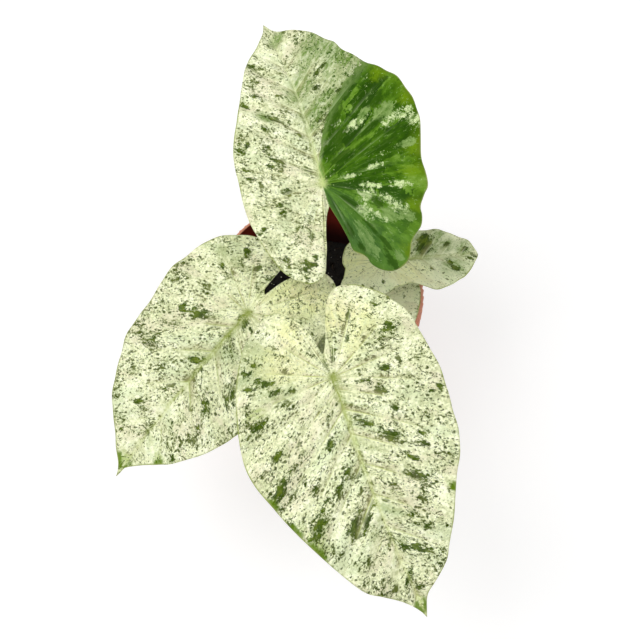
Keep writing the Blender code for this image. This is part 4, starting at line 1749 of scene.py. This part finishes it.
@dataclass
class PottingMix:
    """The mix: a lumpy surface that fills the pot, strewn with crumbs, bark and pale grit.

    Lengths are in millimetres, and the crumbs, barks and grits are so many to a square metre.
    """

    earth: EarthFinish = field(default_factory=EarthFinish)
    bark: EarthFinish = EarthFinish(
        "bark chips", tint(22, 15, 11), tint(44, 32, 23), tint(84, 70, 54), 0.003
    )
    grit: GritFinish = field(default_factory=GritFinish)
    clearance: float = 0.3
    crumbs: float = 160000.0
    crumb_size: float = 1.5
    barks: float = 22000.0
    grits: float = 16000.0
    seed: int = 7
    top: float = 76.0

    LUMP = 0.55  # the lumps' height
    EDGE_RADIUS = 55.0
    HOLE_RADIUS, HOLE_DEPTH = 14.0, 10.0  # the socket that the crown stands in
    SLUMP = 2.0  # how far the top falls away towards the pot
    STREWN = (15.0, 20.0, 28.0, 36.0, 44.0, 50.0, 53.0)  # the rings that the crumbs lie between
    STREWN_STEPS = 64
    CRUMPLE = 0.0011  # how far the crumbs are pushed out of shape, in metres
    CRUMPLE_SCALE = 900.0  # how finely

    def build(self) -> None:
        """Make the mix and its crumbs, and hand them over."""
        self.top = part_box("potting_mix")[1].z / MM
        soil = self.earth.make()
        bed = new_piece("potting_mix_bed", self._body(soil))
        hand_over(bed, "potting_mix", "potting_mix")
        crumbs = new_piece("mix_crumbs", self._scatter(soil), smooth=False)
        hand_over(crumbs, "potting_mix")

    def _height(self, radius: float, angle: float) -> float:
        """The height of the surface, with its lumps, which die away at the crown and at the pot.

        Args:
            radius: The distance from the axis.
            angle: The turn about it, in radians.

        Returns:
            The height.
        """
        x, y = radius * math.cos(angle), radius * math.sin(angle)
        lumps = math.sin(x / 3.1 + 1) * math.cos(y / 2.7)
        lumps += 0.6 * math.sin(x / 1.7) * math.sin(y / 1.9 + 2)
        fade = min(1, (radius - self.HOLE_RADIUS) / 6, (self.EDGE_RADIUS - radius) / 3)
        return self.top - self.SLUMP * (radius / self.EDGE_RADIUS) ** 2 + self.LUMP * lumps * fade

    def _body(self, soil: bpy.types.Material) -> bpy.types.Mesh:
        """The bed: a turned block whose top is lumpy.

        Args:
            soil: The mix's material.

        Returns:
            The bed's mesh.
        """
        low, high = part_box("potting_mix")
        pot = Pot()
        bottom = low.z / MM
        shell = pot.wall + self.clearance
        level = high.z / MM - self.SLUMP
        wide = pot.outer(level) - shell
        soft = pot.FOOT_ROUND
        profile = [(0, bottom), (pot.outer(soft) - shell - soft, bottom)]
        profile.append((pot.outer(2 * soft) - shell, bottom + soft))
        profile += [(pot.outer(z) - shell, z) for z in pot.LEVELS[:3]] + [(wide, level)]
        profile += [(r, level) for r in np.arange(self.EDGE_RADIUS - 1, self.HOLE_RADIUS, -1.0)]
        hole = level - self.HOLE_DEPTH
        builder = turned([*profile, (self.HOLE_RADIUS, hole), (0, hole)], 160)
        for corner in builder.verts:
            radius = math.hypot(corner.co.x, corner.co.y) / MM
            if corner.co.z > (level - 0.01) * MM and radius < wide + 0.5:
                angle = math.atan2(corner.co.y, corner.co.x)
                corner.co.z = self._height(min(radius, self.EDGE_RADIUS), angle) * MM
        return to_mesh(builder, "potting_mix_bed", soil)

    def _mix_top(self) -> bpy.types.Mesh:
        """The open surface that the crumbs are strewn over.

        Returns:
            The surface's mesh.
        """
        bed = bmesh.new()
        steps = self.STREWN_STEPS
        rings = []
        for radius in self.STREWN:
            ring = []
            for turn in np.linspace(0, 2 * math.pi, steps, endpoint=False):
                height = self._height(radius, turn)
                spot = Vector((radius * math.cos(turn), radius * math.sin(turn), height))
                ring.append(bed.verts.new(spot * MM))
            rings.append(ring)
        for inner, outer in zip(rings, rings[1:]):
            for k in range(steps):
                after = (k + 1) % steps
                bed.faces.new((inner[k], outer[k], outer[after], inner[after]))
        return to_mesh(bed, "mix_top")

    def _scatter(self, soil: bpy.types.Material) -> bpy.types.Mesh:
        """Crumbs, bark and grit strewn over the bed by seed.

        Args:
            soil: The mix's material.

        Returns:
            The mesh of them all.
        """
        base = self._mix_top()
        rig = Rig("mix_scatter")
        seed = rig.size("Seed", self.seed, "NodeSocketInt")
        size = rig.size("Crumb size", self.crumb_size * MM)
        join = rig.node("GeometryNodeJoinGeometry")
        grit = self.grit.make()
        bark = self.bark.make()
        each = "for each square metre"
        kinds = (
            Litter(f"Crumbs {each}", self.crumbs, (0.5, 0.5, 0.4), (1.4, 1.3, 0.9), 0.5, soil),
            Litter(f"Barks {each}", self.barks, (0.7, 0.4, 0.25), (2.6, 1.1, 0.5), 0.9, bark),
            Litter(f"Grits {each}", self.grits, (0.3, 0.3, 0.25), (0.75, 0.65, 0.55), 0.5, grit),
        )
        for order, kind in enumerate(kinds):
            strewn = self._strewn(rig, kind, order, seed, size)
            rig.tree.links.new(strewn, join.inputs[0])
        return rig.grow(join.outputs[0], base)

    def _strewn(self, rig: Rig, kind: Litter, order: int, seed: Socket, size: Socket) -> Socket:
        """One kind of litter, strewn over the tree's base and crumpled.

        Args:
            rig: The tree.
            kind: What is strewn.
            order: Its number, which sets its draws apart from the others'.
            seed: The tree's seed.
            size: The crumbs' size.

        Returns:
            The strewn pieces, made real, with their material.
        """
        density = rig.size(kind.label, kind.density)
        stirred = rig.maths("ADD", seed, float(order * 10))
        inputs = {"Mesh": rig.base, "Density": density, "Seed": stirred}
        points = rig.node("GeometryNodeDistributePointsOnFaces", inputs).outputs["Points"]
        inputs = {"Radius": rig.maths("MULTIPLY", size, kind.radius), "Subdivisions": 1}
        inputs = {
            "Points": points,
            "Instance": rig.first("GeometryNodeMeshIcoSphere", inputs),
            "Rotation": rig.random((0, 0, 0), (6.28, 6.28, 6.28), 3 + order),
            "Scale": rig.random(kind.least, kind.most, 5 + order),
        }
        placed = rig.first("GeometryNodeInstanceOnPoints", inputs)
        real = rig.first("GeometryNodeRealizeInstances", {"Geometry": placed})
        where = rig.first("GeometryNodeInputPosition")
        inputs = {"Vector": where, "Scale": self.CRUMPLE_SCALE, "Detail": 1.0}
        push = rig.node("ShaderNodeTexNoise", inputs).outputs["Color"]
        push = rig.first("ShaderNodeVectorMath", {0: push, 1: (-0.5,) * 3}, operation="ADD")
        inputs = {0: push, "Scale": self.CRUMPLE}
        push = rig.first("ShaderNodeVectorMath", inputs, operation="SCALE")
        real = rig.first("GeometryNodeSetPosition", {"Geometry": real, "Offset": push})
        inputs = {"Geometry": real, "Material": kind.material}
        return rig.first("GeometryNodeSetMaterial", inputs)


@dataclass
class Crown:
    """The short stem that the stalks rise from, ringed with old leaf scars."""

    finish: BarkFinish = field(default_factory=BarkFinish)
    radius: float = 13.6
    rings: int = 5

    STEPS = 32
    SINK = 0.8  # how far the hollows between the scars lie in from the radius
    RIDGE = 0.5  # the scars' height
    SHRINK = 3.5  # how much narrower the top is
    FLUTES, FLUTE_DEPTH = 5, 0.05

    def build(self) -> None:
        """Make the crown and hand it over."""
        low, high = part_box("crown")
        bottom, top = low.z / MM, high.z / MM
        skin = self.finish.make()
        profile: list[Point2] = [(0, bottom), (self.radius - 2, bottom)]
        for share in np.linspace(0, 1, self.STEPS + 1).tolist():
            ridge = self.RIDGE * abs(math.sin(math.pi * self.rings * share)) ** 0.6
            wide = self.radius - self.SINK + ridge - self.SHRINK * share**3
            profile.append((wide, bottom + (top - bottom) * share))
        profile.append((0, top))
        builder = turned(profile, 64)
        for corner in builder.verts:
            angle = math.atan2(corner.co.y, corner.co.x)
            twist = self.FLUTES * angle + corner.co.z / MM * 0.4
            corner.co.xy *= 1 - self.FLUTE_DEPTH * (0.5 + 0.5 * math.sin(twist))
        crown = new_piece("stem_crown", to_mesh(builder, "stem_crown", skin))
        hand_over(crown, "green_stem", "crown")


@dataclass
class Studio:
    """The pale floor, the soft lamps, the world and the camera."""

    aim: tuple[float, float, float] = (1.4, -16.4, 102.0)
    distance: float = 620.0
    elevation: float = 64.0
    lens: float = 59.5
    world: float = 0.56

    LIT = (0.0, 0.0, 0.12)  # where the lamps are aimed, in metres
    SENSOR = 36.0

    def build(self) -> None:
        """Set everything up."""
        self._floor()
        self._lamp("key", (-0.55, -0.05, 1.2), 0.7, 6.7)
        self._lamp("fill", (0.4, -0.45, 1.2), 0.9, 3.9)
        self._room()
        self._camera()

    def _room(self) -> None:
        """The soft light all round, seen as plain white by the camera and in gloss."""
        scene = bpy.context.scene
        scene.world = bpy.data.worlds.new("soft room")
        scene.world.use_nodes = True
        nodes = Nodes(scene.world.node_tree)
        seen = self._seen(nodes)
        inputs = {"Value": seen, "To Min": self.world, "To Max": 1.0}
        level = nodes.node("ShaderNodeMapRange", inputs)
        back = nodes.tree.nodes["Background"].inputs
        nodes.plug(back["Strength"], level.outputs["Result"])
        nodes.plug(back["Color"], (1, 1, 1, 1))
        scene.view_settings.view_transform = "Standard"

    @staticmethod
    def _seen(nodes: Nodes) -> Socket:
        """One for a ray from the camera or off a gloss, and zero for the others."""
        path = nodes.node("ShaderNodeLightPath").outputs
        return nodes.maths("MAXIMUM", path["Is Camera Ray"], path["Is Glossy Ray"])

    def _floor(self) -> None:
        """A wide plain floor, white to the camera but for the plant's shadow."""
        paint = Paint("pale floor")
        cloud = paint.noise(paint.place(), 3, 2)
        colour = paint.mix(cloud, (0.62, 0.62, 0.62, 1), (0.64, 0.64, 0.64, 1))
        paint.finish(colour, 0.9, Specular_IOR_Level=0.1)
        glow = paint.between(paint.length(paint.place()), 0.3, 2.5, 0.46, 0.75)
        glow = paint.times(self._seen(paint), glow)
        paint.plug(paint.shader.inputs["Emission Strength"], glow)
        paint.shader.inputs["Emission Color"].default_value = (1, 1, 1, 1)
        builder = bmesh.new()
        bmesh.ops.create_grid(builder, x_segments=8, y_segments=8, size=6.0)
        floor = new_piece("studio_floor", to_mesh(builder, "studio_floor", paint.material))

    def _lamp(
        self, name: str, place: tuple[float, float, float], size: float, power: float
    ) -> None:
        """A large soft square lamp aimed at the plant.

        Args:
            name: The lamp's name.
            place: Where it hangs, in metres.
            size: Its side, in metres.
            power: Its power, in watts.
        """
        light = bpy.data.lights.new(name, "AREA")
        light.shape, light.size, light.energy = "SQUARE", size, power
        lamp = bpy.data.objects.new(name, light)
        lamp.location = place
        way = Vector(self.LIT) - Vector(place)
        lamp.rotation_euler = way.to_track_quat("-Z", "Y").to_euler()
        bpy.context.scene.collection.objects.link(lamp)

    def _camera(self) -> None:
        """The camera, in front of the plant and looking down on it."""
        data = bpy.data.cameras.new("studio camera")
        data.lens, data.sensor_width = self.lens, self.SENSOR
        camera = bpy.data.objects.new("studio camera", data)
        rise = math.radians(self.elevation)
        back = Vector((0, -math.cos(rise), math.sin(rise))) * self.distance
        camera.location = (Vector(self.aim) + back) * MM
        camera.rotation_euler = (math.pi / 2 - rise, 0, 0)
        bpy.context.scene.collection.objects.link(camera)
        bpy.context.scene.camera = camera


BACK_LEAF = Leaf(  # the highest leaf, with its right half green
    name="back", seat=(2.4, 14, 200), heading=107.1, pitch=6, roll=-2, length=114.5, notch=13,
    left=(
        (3.5, -19), (6.5, -27), (9, -37), (14, -48), (23, -51), (32, -44), (38, -33), (42, -19),
        (43, -1), (40.5, 25), (33.5, 44), (22.5, 72), (16.5, 85), (8, 96), (2.5, 106),
    ),
    right=(
        (1.5, -20), (2.8, -26), (4.2, -34.5), (4.6, -39.5), (8.5, -43), (10.3, -45.5), (11.3, -49),
        (15.5, -52.8), (21, -55), (27, -53.8), (31, -50.5), (33.6, -44.5), (37, -40.6),
        (41.4, -37), (44, -31.5), (44.8, -26.5), (48.2, -21.5), (52, -16), (54.5, 1), (60.5, 23),
        (60.5, 39), (51.5, 59), (36.5, 75), (32, 86), (24, 95.5), (11, 102.5), (3.5, 107),
    ),
    fold=(16, 6), cup=(0.23, 0.17), droop=0.14, lobe_droop=0.23, bow=3, stalk_angle=100,
    stalk_radii=(4.4, 2.3), green_half=1, green_from=8.25, rows=190, phase=0.4,
    skin=BladeFinish(
        "back blade", greens=True, wash=1.0, fray=4.0, shift=-0.003, fleck=tint(98, 110, 50),
        deep=tint(76, 90, 32), rib=tint(214, 224, 172), seat=tint(200, 212, 142),
    ),
    marks={
        Tone.OLIVE: (
            (-9, 38, 3.5, 2.4), (-14, 42, 4, 1.8), (-20, 17, 4, 1.6), (-24, 14, 2.5, 1.2),
            (-36, 27, 2.6, 2.4), (-33, 29, 1.6, 1.4), (-36, 8, 3, 1.2), (-5, 9, 4.2, 1.5),
            (-5, 5, 3.5, 0.7), (-19, -2, 2.6, 2.2), (-25, -8, 2, 1.4), (-25, -12, 2, 1.4),
            (-20, 58, 2.8, 1.6), (-15, 81, 2.6, 1.6), (-5, 65, 1.6, 1.4), (-3, 94, 3, 1),
            (14, 92, 2, 1.6), (-21, 36, 3, 1.4), (-4, 30, 2.5, 1.2), (-30, -36, 2.2, 1.4),
            (-22, -44, 5, 3), (-17, -41, 2.6, 1.2), (-14, -27, 1.6, 1.8), (-38, -20, 3, 1.2),
            (-38, 15, 3, 1.2), (-26, 54, 3, 1.8), (-24, 24, 2, 1.6), (17, 65, 5, 1.2),
            (14, 57, 2.6, 2), (22, 70, 3, 1.2), (17, 39, 9, 3), (14, 22, 10, 5.4),
            (16, 34, 8, 3.4), (29, 51, 9, 2.6), (11, 30, 6, 3), (42, 38, 6, 3), (34, 23, 9, 2),
            (38, 11, 8, 2), (13, 11, 8, 2), (24, -19, 4, 2.6), (11, -15, 7, 1.4), (17, -31, 6, 1),
            (22, -41, 6, 1.2), (6, -29, 4, 1.6), (9, -39, 2.6, 1.6), (22, -51, 7, 2),
        ),
        Tone.SAGE: (
            (-19, 44, 5, 3), (20, 86, 14, 6), (31, 82, 12, 7), (16, 75, 12, 4), (30, 72, 14, 5),
            (6, 60, 12, 6), (9, 46, 12, 5), (3, 98, 6, 3), (8, 35, 9, 3), (16, 47, 12, 4.5),
            (27, 59, 12, 5), (36, 69, 10, 5), (37, 77, 8, 5), (32, 31, 6, 2.4), (43, 30, 8, 4),
            (49, 9, 6, 2), (13, -38, 9, 3.4), (12, -30, 5, 2), (36, -29, 5, 3), (28, -27, 5, 4),
            (26, -48, 3, 2),
        ),
        Tone.CREAM: (
            (25, 28, 3, 1.6), (22, 25, 2, 1.2), (29, 27, 5, 0.8), (17, 31, 2.5, 1),
            (46, 25, 5, 1.6), (59, 21, 4, 3.5), (54, 27, 4, 2), (9, 22, 2.5, 1), (29, 1, 3, 1),
            (14, -1, 4, 1), (20, -14, 3.5, 2.8), (29, -18, 3, 1.8), (34, -24, 3.5, 2.4),
            (17, -22, 4, 2.4), (23, -27, 3, 1.2), (38, -13, 4, 1.6), (23, -9, 4, 1.2),
        ),
        Tone.LIME: (
            (49, 56, 8, 4), (58, 36, 7, 4), (54, 6, 8, 4), (47, -7, 7, 4), (41, -25, 5, 3.5),
            (31, -47, 5, 2.5),
        ),
    },
)
LEFT_LEAF = Leaf(  # leans out to the left and forwards
    name="left", seat=(-36, -44.6, 168), heading=227.6, pitch=-12, roll=0, length=109.6, notch=13,
    left=(
        (1.4, -19.5), (3, -25.5), (5.6, -31), (13, -40), (23, -41), (33, -33), (40, -15), (43, 10),
        (42, 38), (36, 60), (23.5, 81), (16.5, 88), (8.5, 95), (1.5, 102.5), (0.7, 106),
    ),
    right=(
        (2, -15), (4, -20), (3.4, -25), (4, -31), (12, -37), (24, -35), (34, -28), (43, -15),
        (47, 2), (46, 18), (42, 50), (34, 68), (20, 87), (8, 98.5), (2.5, 104.5),
    ),
    fold=(8, 8), cup=(0.17, 0.17), droop=0.17, lobe_droop=0.29, bow=0, stalk_angle=195,
    stalk_radii=(4.3, 2.2), veins=(5, 5.5), phase=1.3,
    skin=BladeFinish(
        "left blade", lines=1.15, fleck=tint(92, 104, 44), deep=tint(66, 80, 22),
        rib=tint(176, 190, 108),
    ),
    marks={
        Tone.OLIVE: (
            (18, 16, 6.2, 2.4), (23, 16, 2, 1.8), (30, 44, 4.2, 2.4), (3.5, 35, 5, 1.8),
            (-3, 5, 4, 2.8), (-17, 51, 5, 2.2), (-24, 41, 4.5, 1.8), (-25, 37, 4.5, 2),
            (-20, 61.5, 2.2, 1.6), (-21, 81, 2.5, 1), (2, 47, 2.2, 1.2), (-1.5, 44, 3.2, 0.7),
            (-3, 38.5, 3.5, 0.8), (28, 19.5, 2.2, 2), (27.5, -10, 2.4, 1.2), (13, -21, 3, 2.4),
            (24, -25, 3, 1.8), (7.5, 57.5, 2, 0.9), (13.5, 70.5, 2.2, 0.9), (10, 73, 2.2, 1),
            (-8.5, 68, 2, 0.9), (0.6, 16.5, 3.5, 0.7), (-9, 5.5, 3.2, 0.7), (13, 89, 1.5, 1),
            (4, -22, 2.5, 1.5),
        ),
        Tone.LIME: ((-14, 87, 6, 3), (3, 101, 6, 4)),
        Tone.SAGE: ((23.5, -16, 4, 3), (32, -15, 5, 3), (-4, 51, 4, 2), (2, 30, 14, 3)),
        Tone.CREAM: ((-12, -20, 13, 9), (-22, -26, 10, 8)),
    },
)
FRONT_LEAF = Leaf(  # the largest leaf
    name="front", seat=(7.6, -93.8, 199), heading=293.7, pitch=-14, roll=0, length=122.7, notch=12,
    left=(
        (1.2, -13.5), (4.2, -19), (7.9, -28), (12, -35.5), (18, -39.5), (24.5, -39), (33, -34.5),
        (40.5, -24.5), (46.5, -9.5), (48.5, 20), (44, 49), (32, 73), (21, 95), (16, 101.5),
        (8, 107.5), (3.6, 112.5),
    ),
    right=(
        (0.6, -14), (1.3, -20), (4, -29.5), (8.6, -35), (16, -39.5), (27, -34), (39.5, -20.7),
        (49.5, 0.5), (54.5, 25.5), (49, 46.5), (40, 68.5), (26, 95), (16.6, 103.6), (7.2, 111.8),
        (2.2, 118),
    ),
    fold=(8, 8), cup=(0.17, 0.17), droop=0.18, lobe_droop=0.34, bow=3.3, stalk_angle=262,
    stalk_radii=(4.4, 2.4), veins=(5, 8.6), phase=2.2,
    skin=BladeFinish("front blade", shift=-0.004, lines=1.35),
    marks={
        Tone.OLIVE: (
            (44, 39, 8.2, 2.2), (32.5, 60, 9, 2.6), (17, 67, 8, 2.8), (10.5, 66, 9, 2.6),
            (11, 44.5, 3.5, 2.4), (7.5, 46.5, 3, 2), (17.5, 49.5, 2.5, 1.8), (-19, 57, 8, 2.4),
            (-3, 64, 6, 0.9), (-1, 81.5, 3.5, 1.6), (-2, 86.5, 4.5, 2.4), (-7.5, 89, 7, 2.6),
            (-14.5, 81, 1.9, 1.8), (-10, 73, 2, 1.5), (2.3, 101, 5, 1.3), (-0.6, 107, 1.8, 1.2),
            (-32, 68.5, 2, 2), (46, 56, 3, 1.2), (17, 83.5, 3, 1), (28, 44.5, 2, 1.6),
            (14.5, 29, 4, 1.6), (-18, 14.5, 4, 1.1), (-14, 7.5, 4, 1.4), (-20.5, 24.5, 1.9, 1.6),
            (-6, 26, 4.6, 1.6), (-14.5, 36, 7.5, 2.6), (-29, 40, 2.6, 1.6), (-27, 44.5, 5, 1.3),
            (-20.5, 48.5, 4.5, 1.2), (-45, 23.5, 2, 2), (-41, 23.5, 2, 1.4), (-32, -24, 1.8, 1.6),
            (-33.5, -12, 5, 3), (-29.5, -21, 3, 1.2), (-20, -10, 2.5, 1.6), (-18.5, -25, 3.5, 0.8),
            (-13.5, -14.5, 2.5, 1), (-4, -9.5, 4, 1.2), (1.5, -8, 4, 1.2), (-24, 5, 2.5, 1.2),
            (43, 9, 4, 1.6), (39, 24.5, 3, 1.4), (38, -16, 3, 1.4), (29, -3, 3, 1.6),
            (30, -8, 3, 1.3), (22, -1, 2.6, 1.2), (33, -18, 3, 1), (40, -9, 3, 1.3), (32, -9, 4, 2),
        ),
        Tone.LIME: (
            (49, 43.5, 3, 3), (36, 64, 4.5, 3.2), (-33, 68, 3, 2), (45, 60, 6, 3.5),
            (39, 72, 8, 5), (41, 3, 5, 2.5), (1, 116, 4, 3),
        ),
        Tone.SAGE: (
            (9, 73, 7, 2.2), (-0.5, 66, 7, 2), (0, 33, 10, 2.4), (35, -14, 9, 7), (28, -3, 9, 5),
            (31, -24, 9, 6),
        ),
        Tone.CREAM: (
            (21, -14, 12, 8), (11, -27, 8, 6), (-14, -27, 8, 7), (-22, -21, 9, 8), (-17, -13, 8, 5),
        ),
    },
)
SMALL_LEAF = Leaf(  # the smaller, duller leaf at the right
    name="small", seat=(38.3, 5.9, 134), heading=7, pitch=6, roll=-14, length=54, notch=23,
    left=(
        (4, -24), (11, -22.5), (17.5, -19), (22, -9), (20, 6), (18, 22), (17, 34), (11, 47.5),
        (3.5, 52.5),
    ),
    right=(
        (7, -24.5), (14, -26.5), (23, -20), (28, -7), (22, 4), (21, 12), (26.5, 23), (26, 31),
        (22, 38), (14, 46), (5, 51.5),
    ),
    fold=(8, 6), cup=(0.17, 0.17), droop=0.3, lobe_droop=0.34, bow=2, stalk_angle=30,
    stalk_radii=(3.1, 1.6), rows=100, columns=36, veins=(4, 6), quilt=0.4, wave=0.7,
    wave_length=22, phase=0.9,
    skin=BladeFinish(
        "small blade", shift=-0.034, dull=-0.19, cast=0.28, wash=0.9, fray=1.4,
        rib=tint(196, 204, 156), fleck=tint(112, 124, 66), deep=tint(86, 100, 42),
    ),
    marks={
        Tone.OLIVE: (
            (-6, 23.5, 7.5, 5), (-11.5, 24, 4.5, 4), (-7, 36.5, 3, 1.8), (-3.5, 46, 3, 1.6),
            (11.5, 38.5, 3.4, 2), (7, 36, 2.4, 1.6), (4, 48.5, 3.4, 1.5), (17.5, -3, 2, 1),
            (11, 25, 2, 1), (1, 51, 4, 1.5),
        ),
        Tone.SAGE: (
            (-7, 24, 11, 8), (-7, 36, 5, 4.4), (-14, 33, 4, 3), (-4, 46, 5, 4), (10, 38, 7, 6),
        ),
        Tone.CREAM: ((-2, -14, 16, 12), (12, 12, 9, 9)),
        Tone.LIME: ((-4, -4, 8, 3),),
    },
)
OLD_LEAF = Leaf(  # the small old leaf that lies low over the rim
    name="old", seat=(38.2, -4.9, 107.3), heading=-82, pitch=2, roll=12, length=32, notch=3,
    left=(
        (3, -8), (8, -15), (14, -17), (20.5, -11), (22.6, -1), (21.6, 6), (20, 11.5), (17.6, 16.5),
        (14.2, 21.5), (8.5, 27),
    ),
    right=(
        (3, -8), (6.4, -13), (11, -12.8), (15.4, -6.6), (17.6, 2), (16, 13), (11, 22), (5, 29),
    ),
    fold=(6, 8), cup=(0.1, 0.1), droop=0.2, lobe_droop=0.2, bow=0, stalk_angle=328,
    stalk_radii=(2.5, 1.3), rows=80, columns=28, veins=(4, 5), quilt=0.3, wave=0.2, wave_length=18,
    phase=1.9,
    skin=BladeFinish(
        "old blade", shift=-0.035, dull=-0.23, cast=0.12, fleck=tint(140, 150, 96),
        deep=tint(116, 128, 72),
    ),
)


def main() -> None:
    """Build the plant from the pot up, then the studio."""
    logging.basicConfig(level=logging.INFO, format="%(name)s %(message)s")
    Pot().build()
    PottingMix().build()
    Crown().build()
    stem = StemFinish().make()
    for leaf in (BACK_LEAF, LEFT_LEAF, FRONT_LEAF, SMALL_LEAF, OLD_LEAF):
        leaf.build(stem)
    Studio().build()
    bpy.context.view_layer.update()
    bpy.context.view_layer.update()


if __name__ == "__main__":
    main()
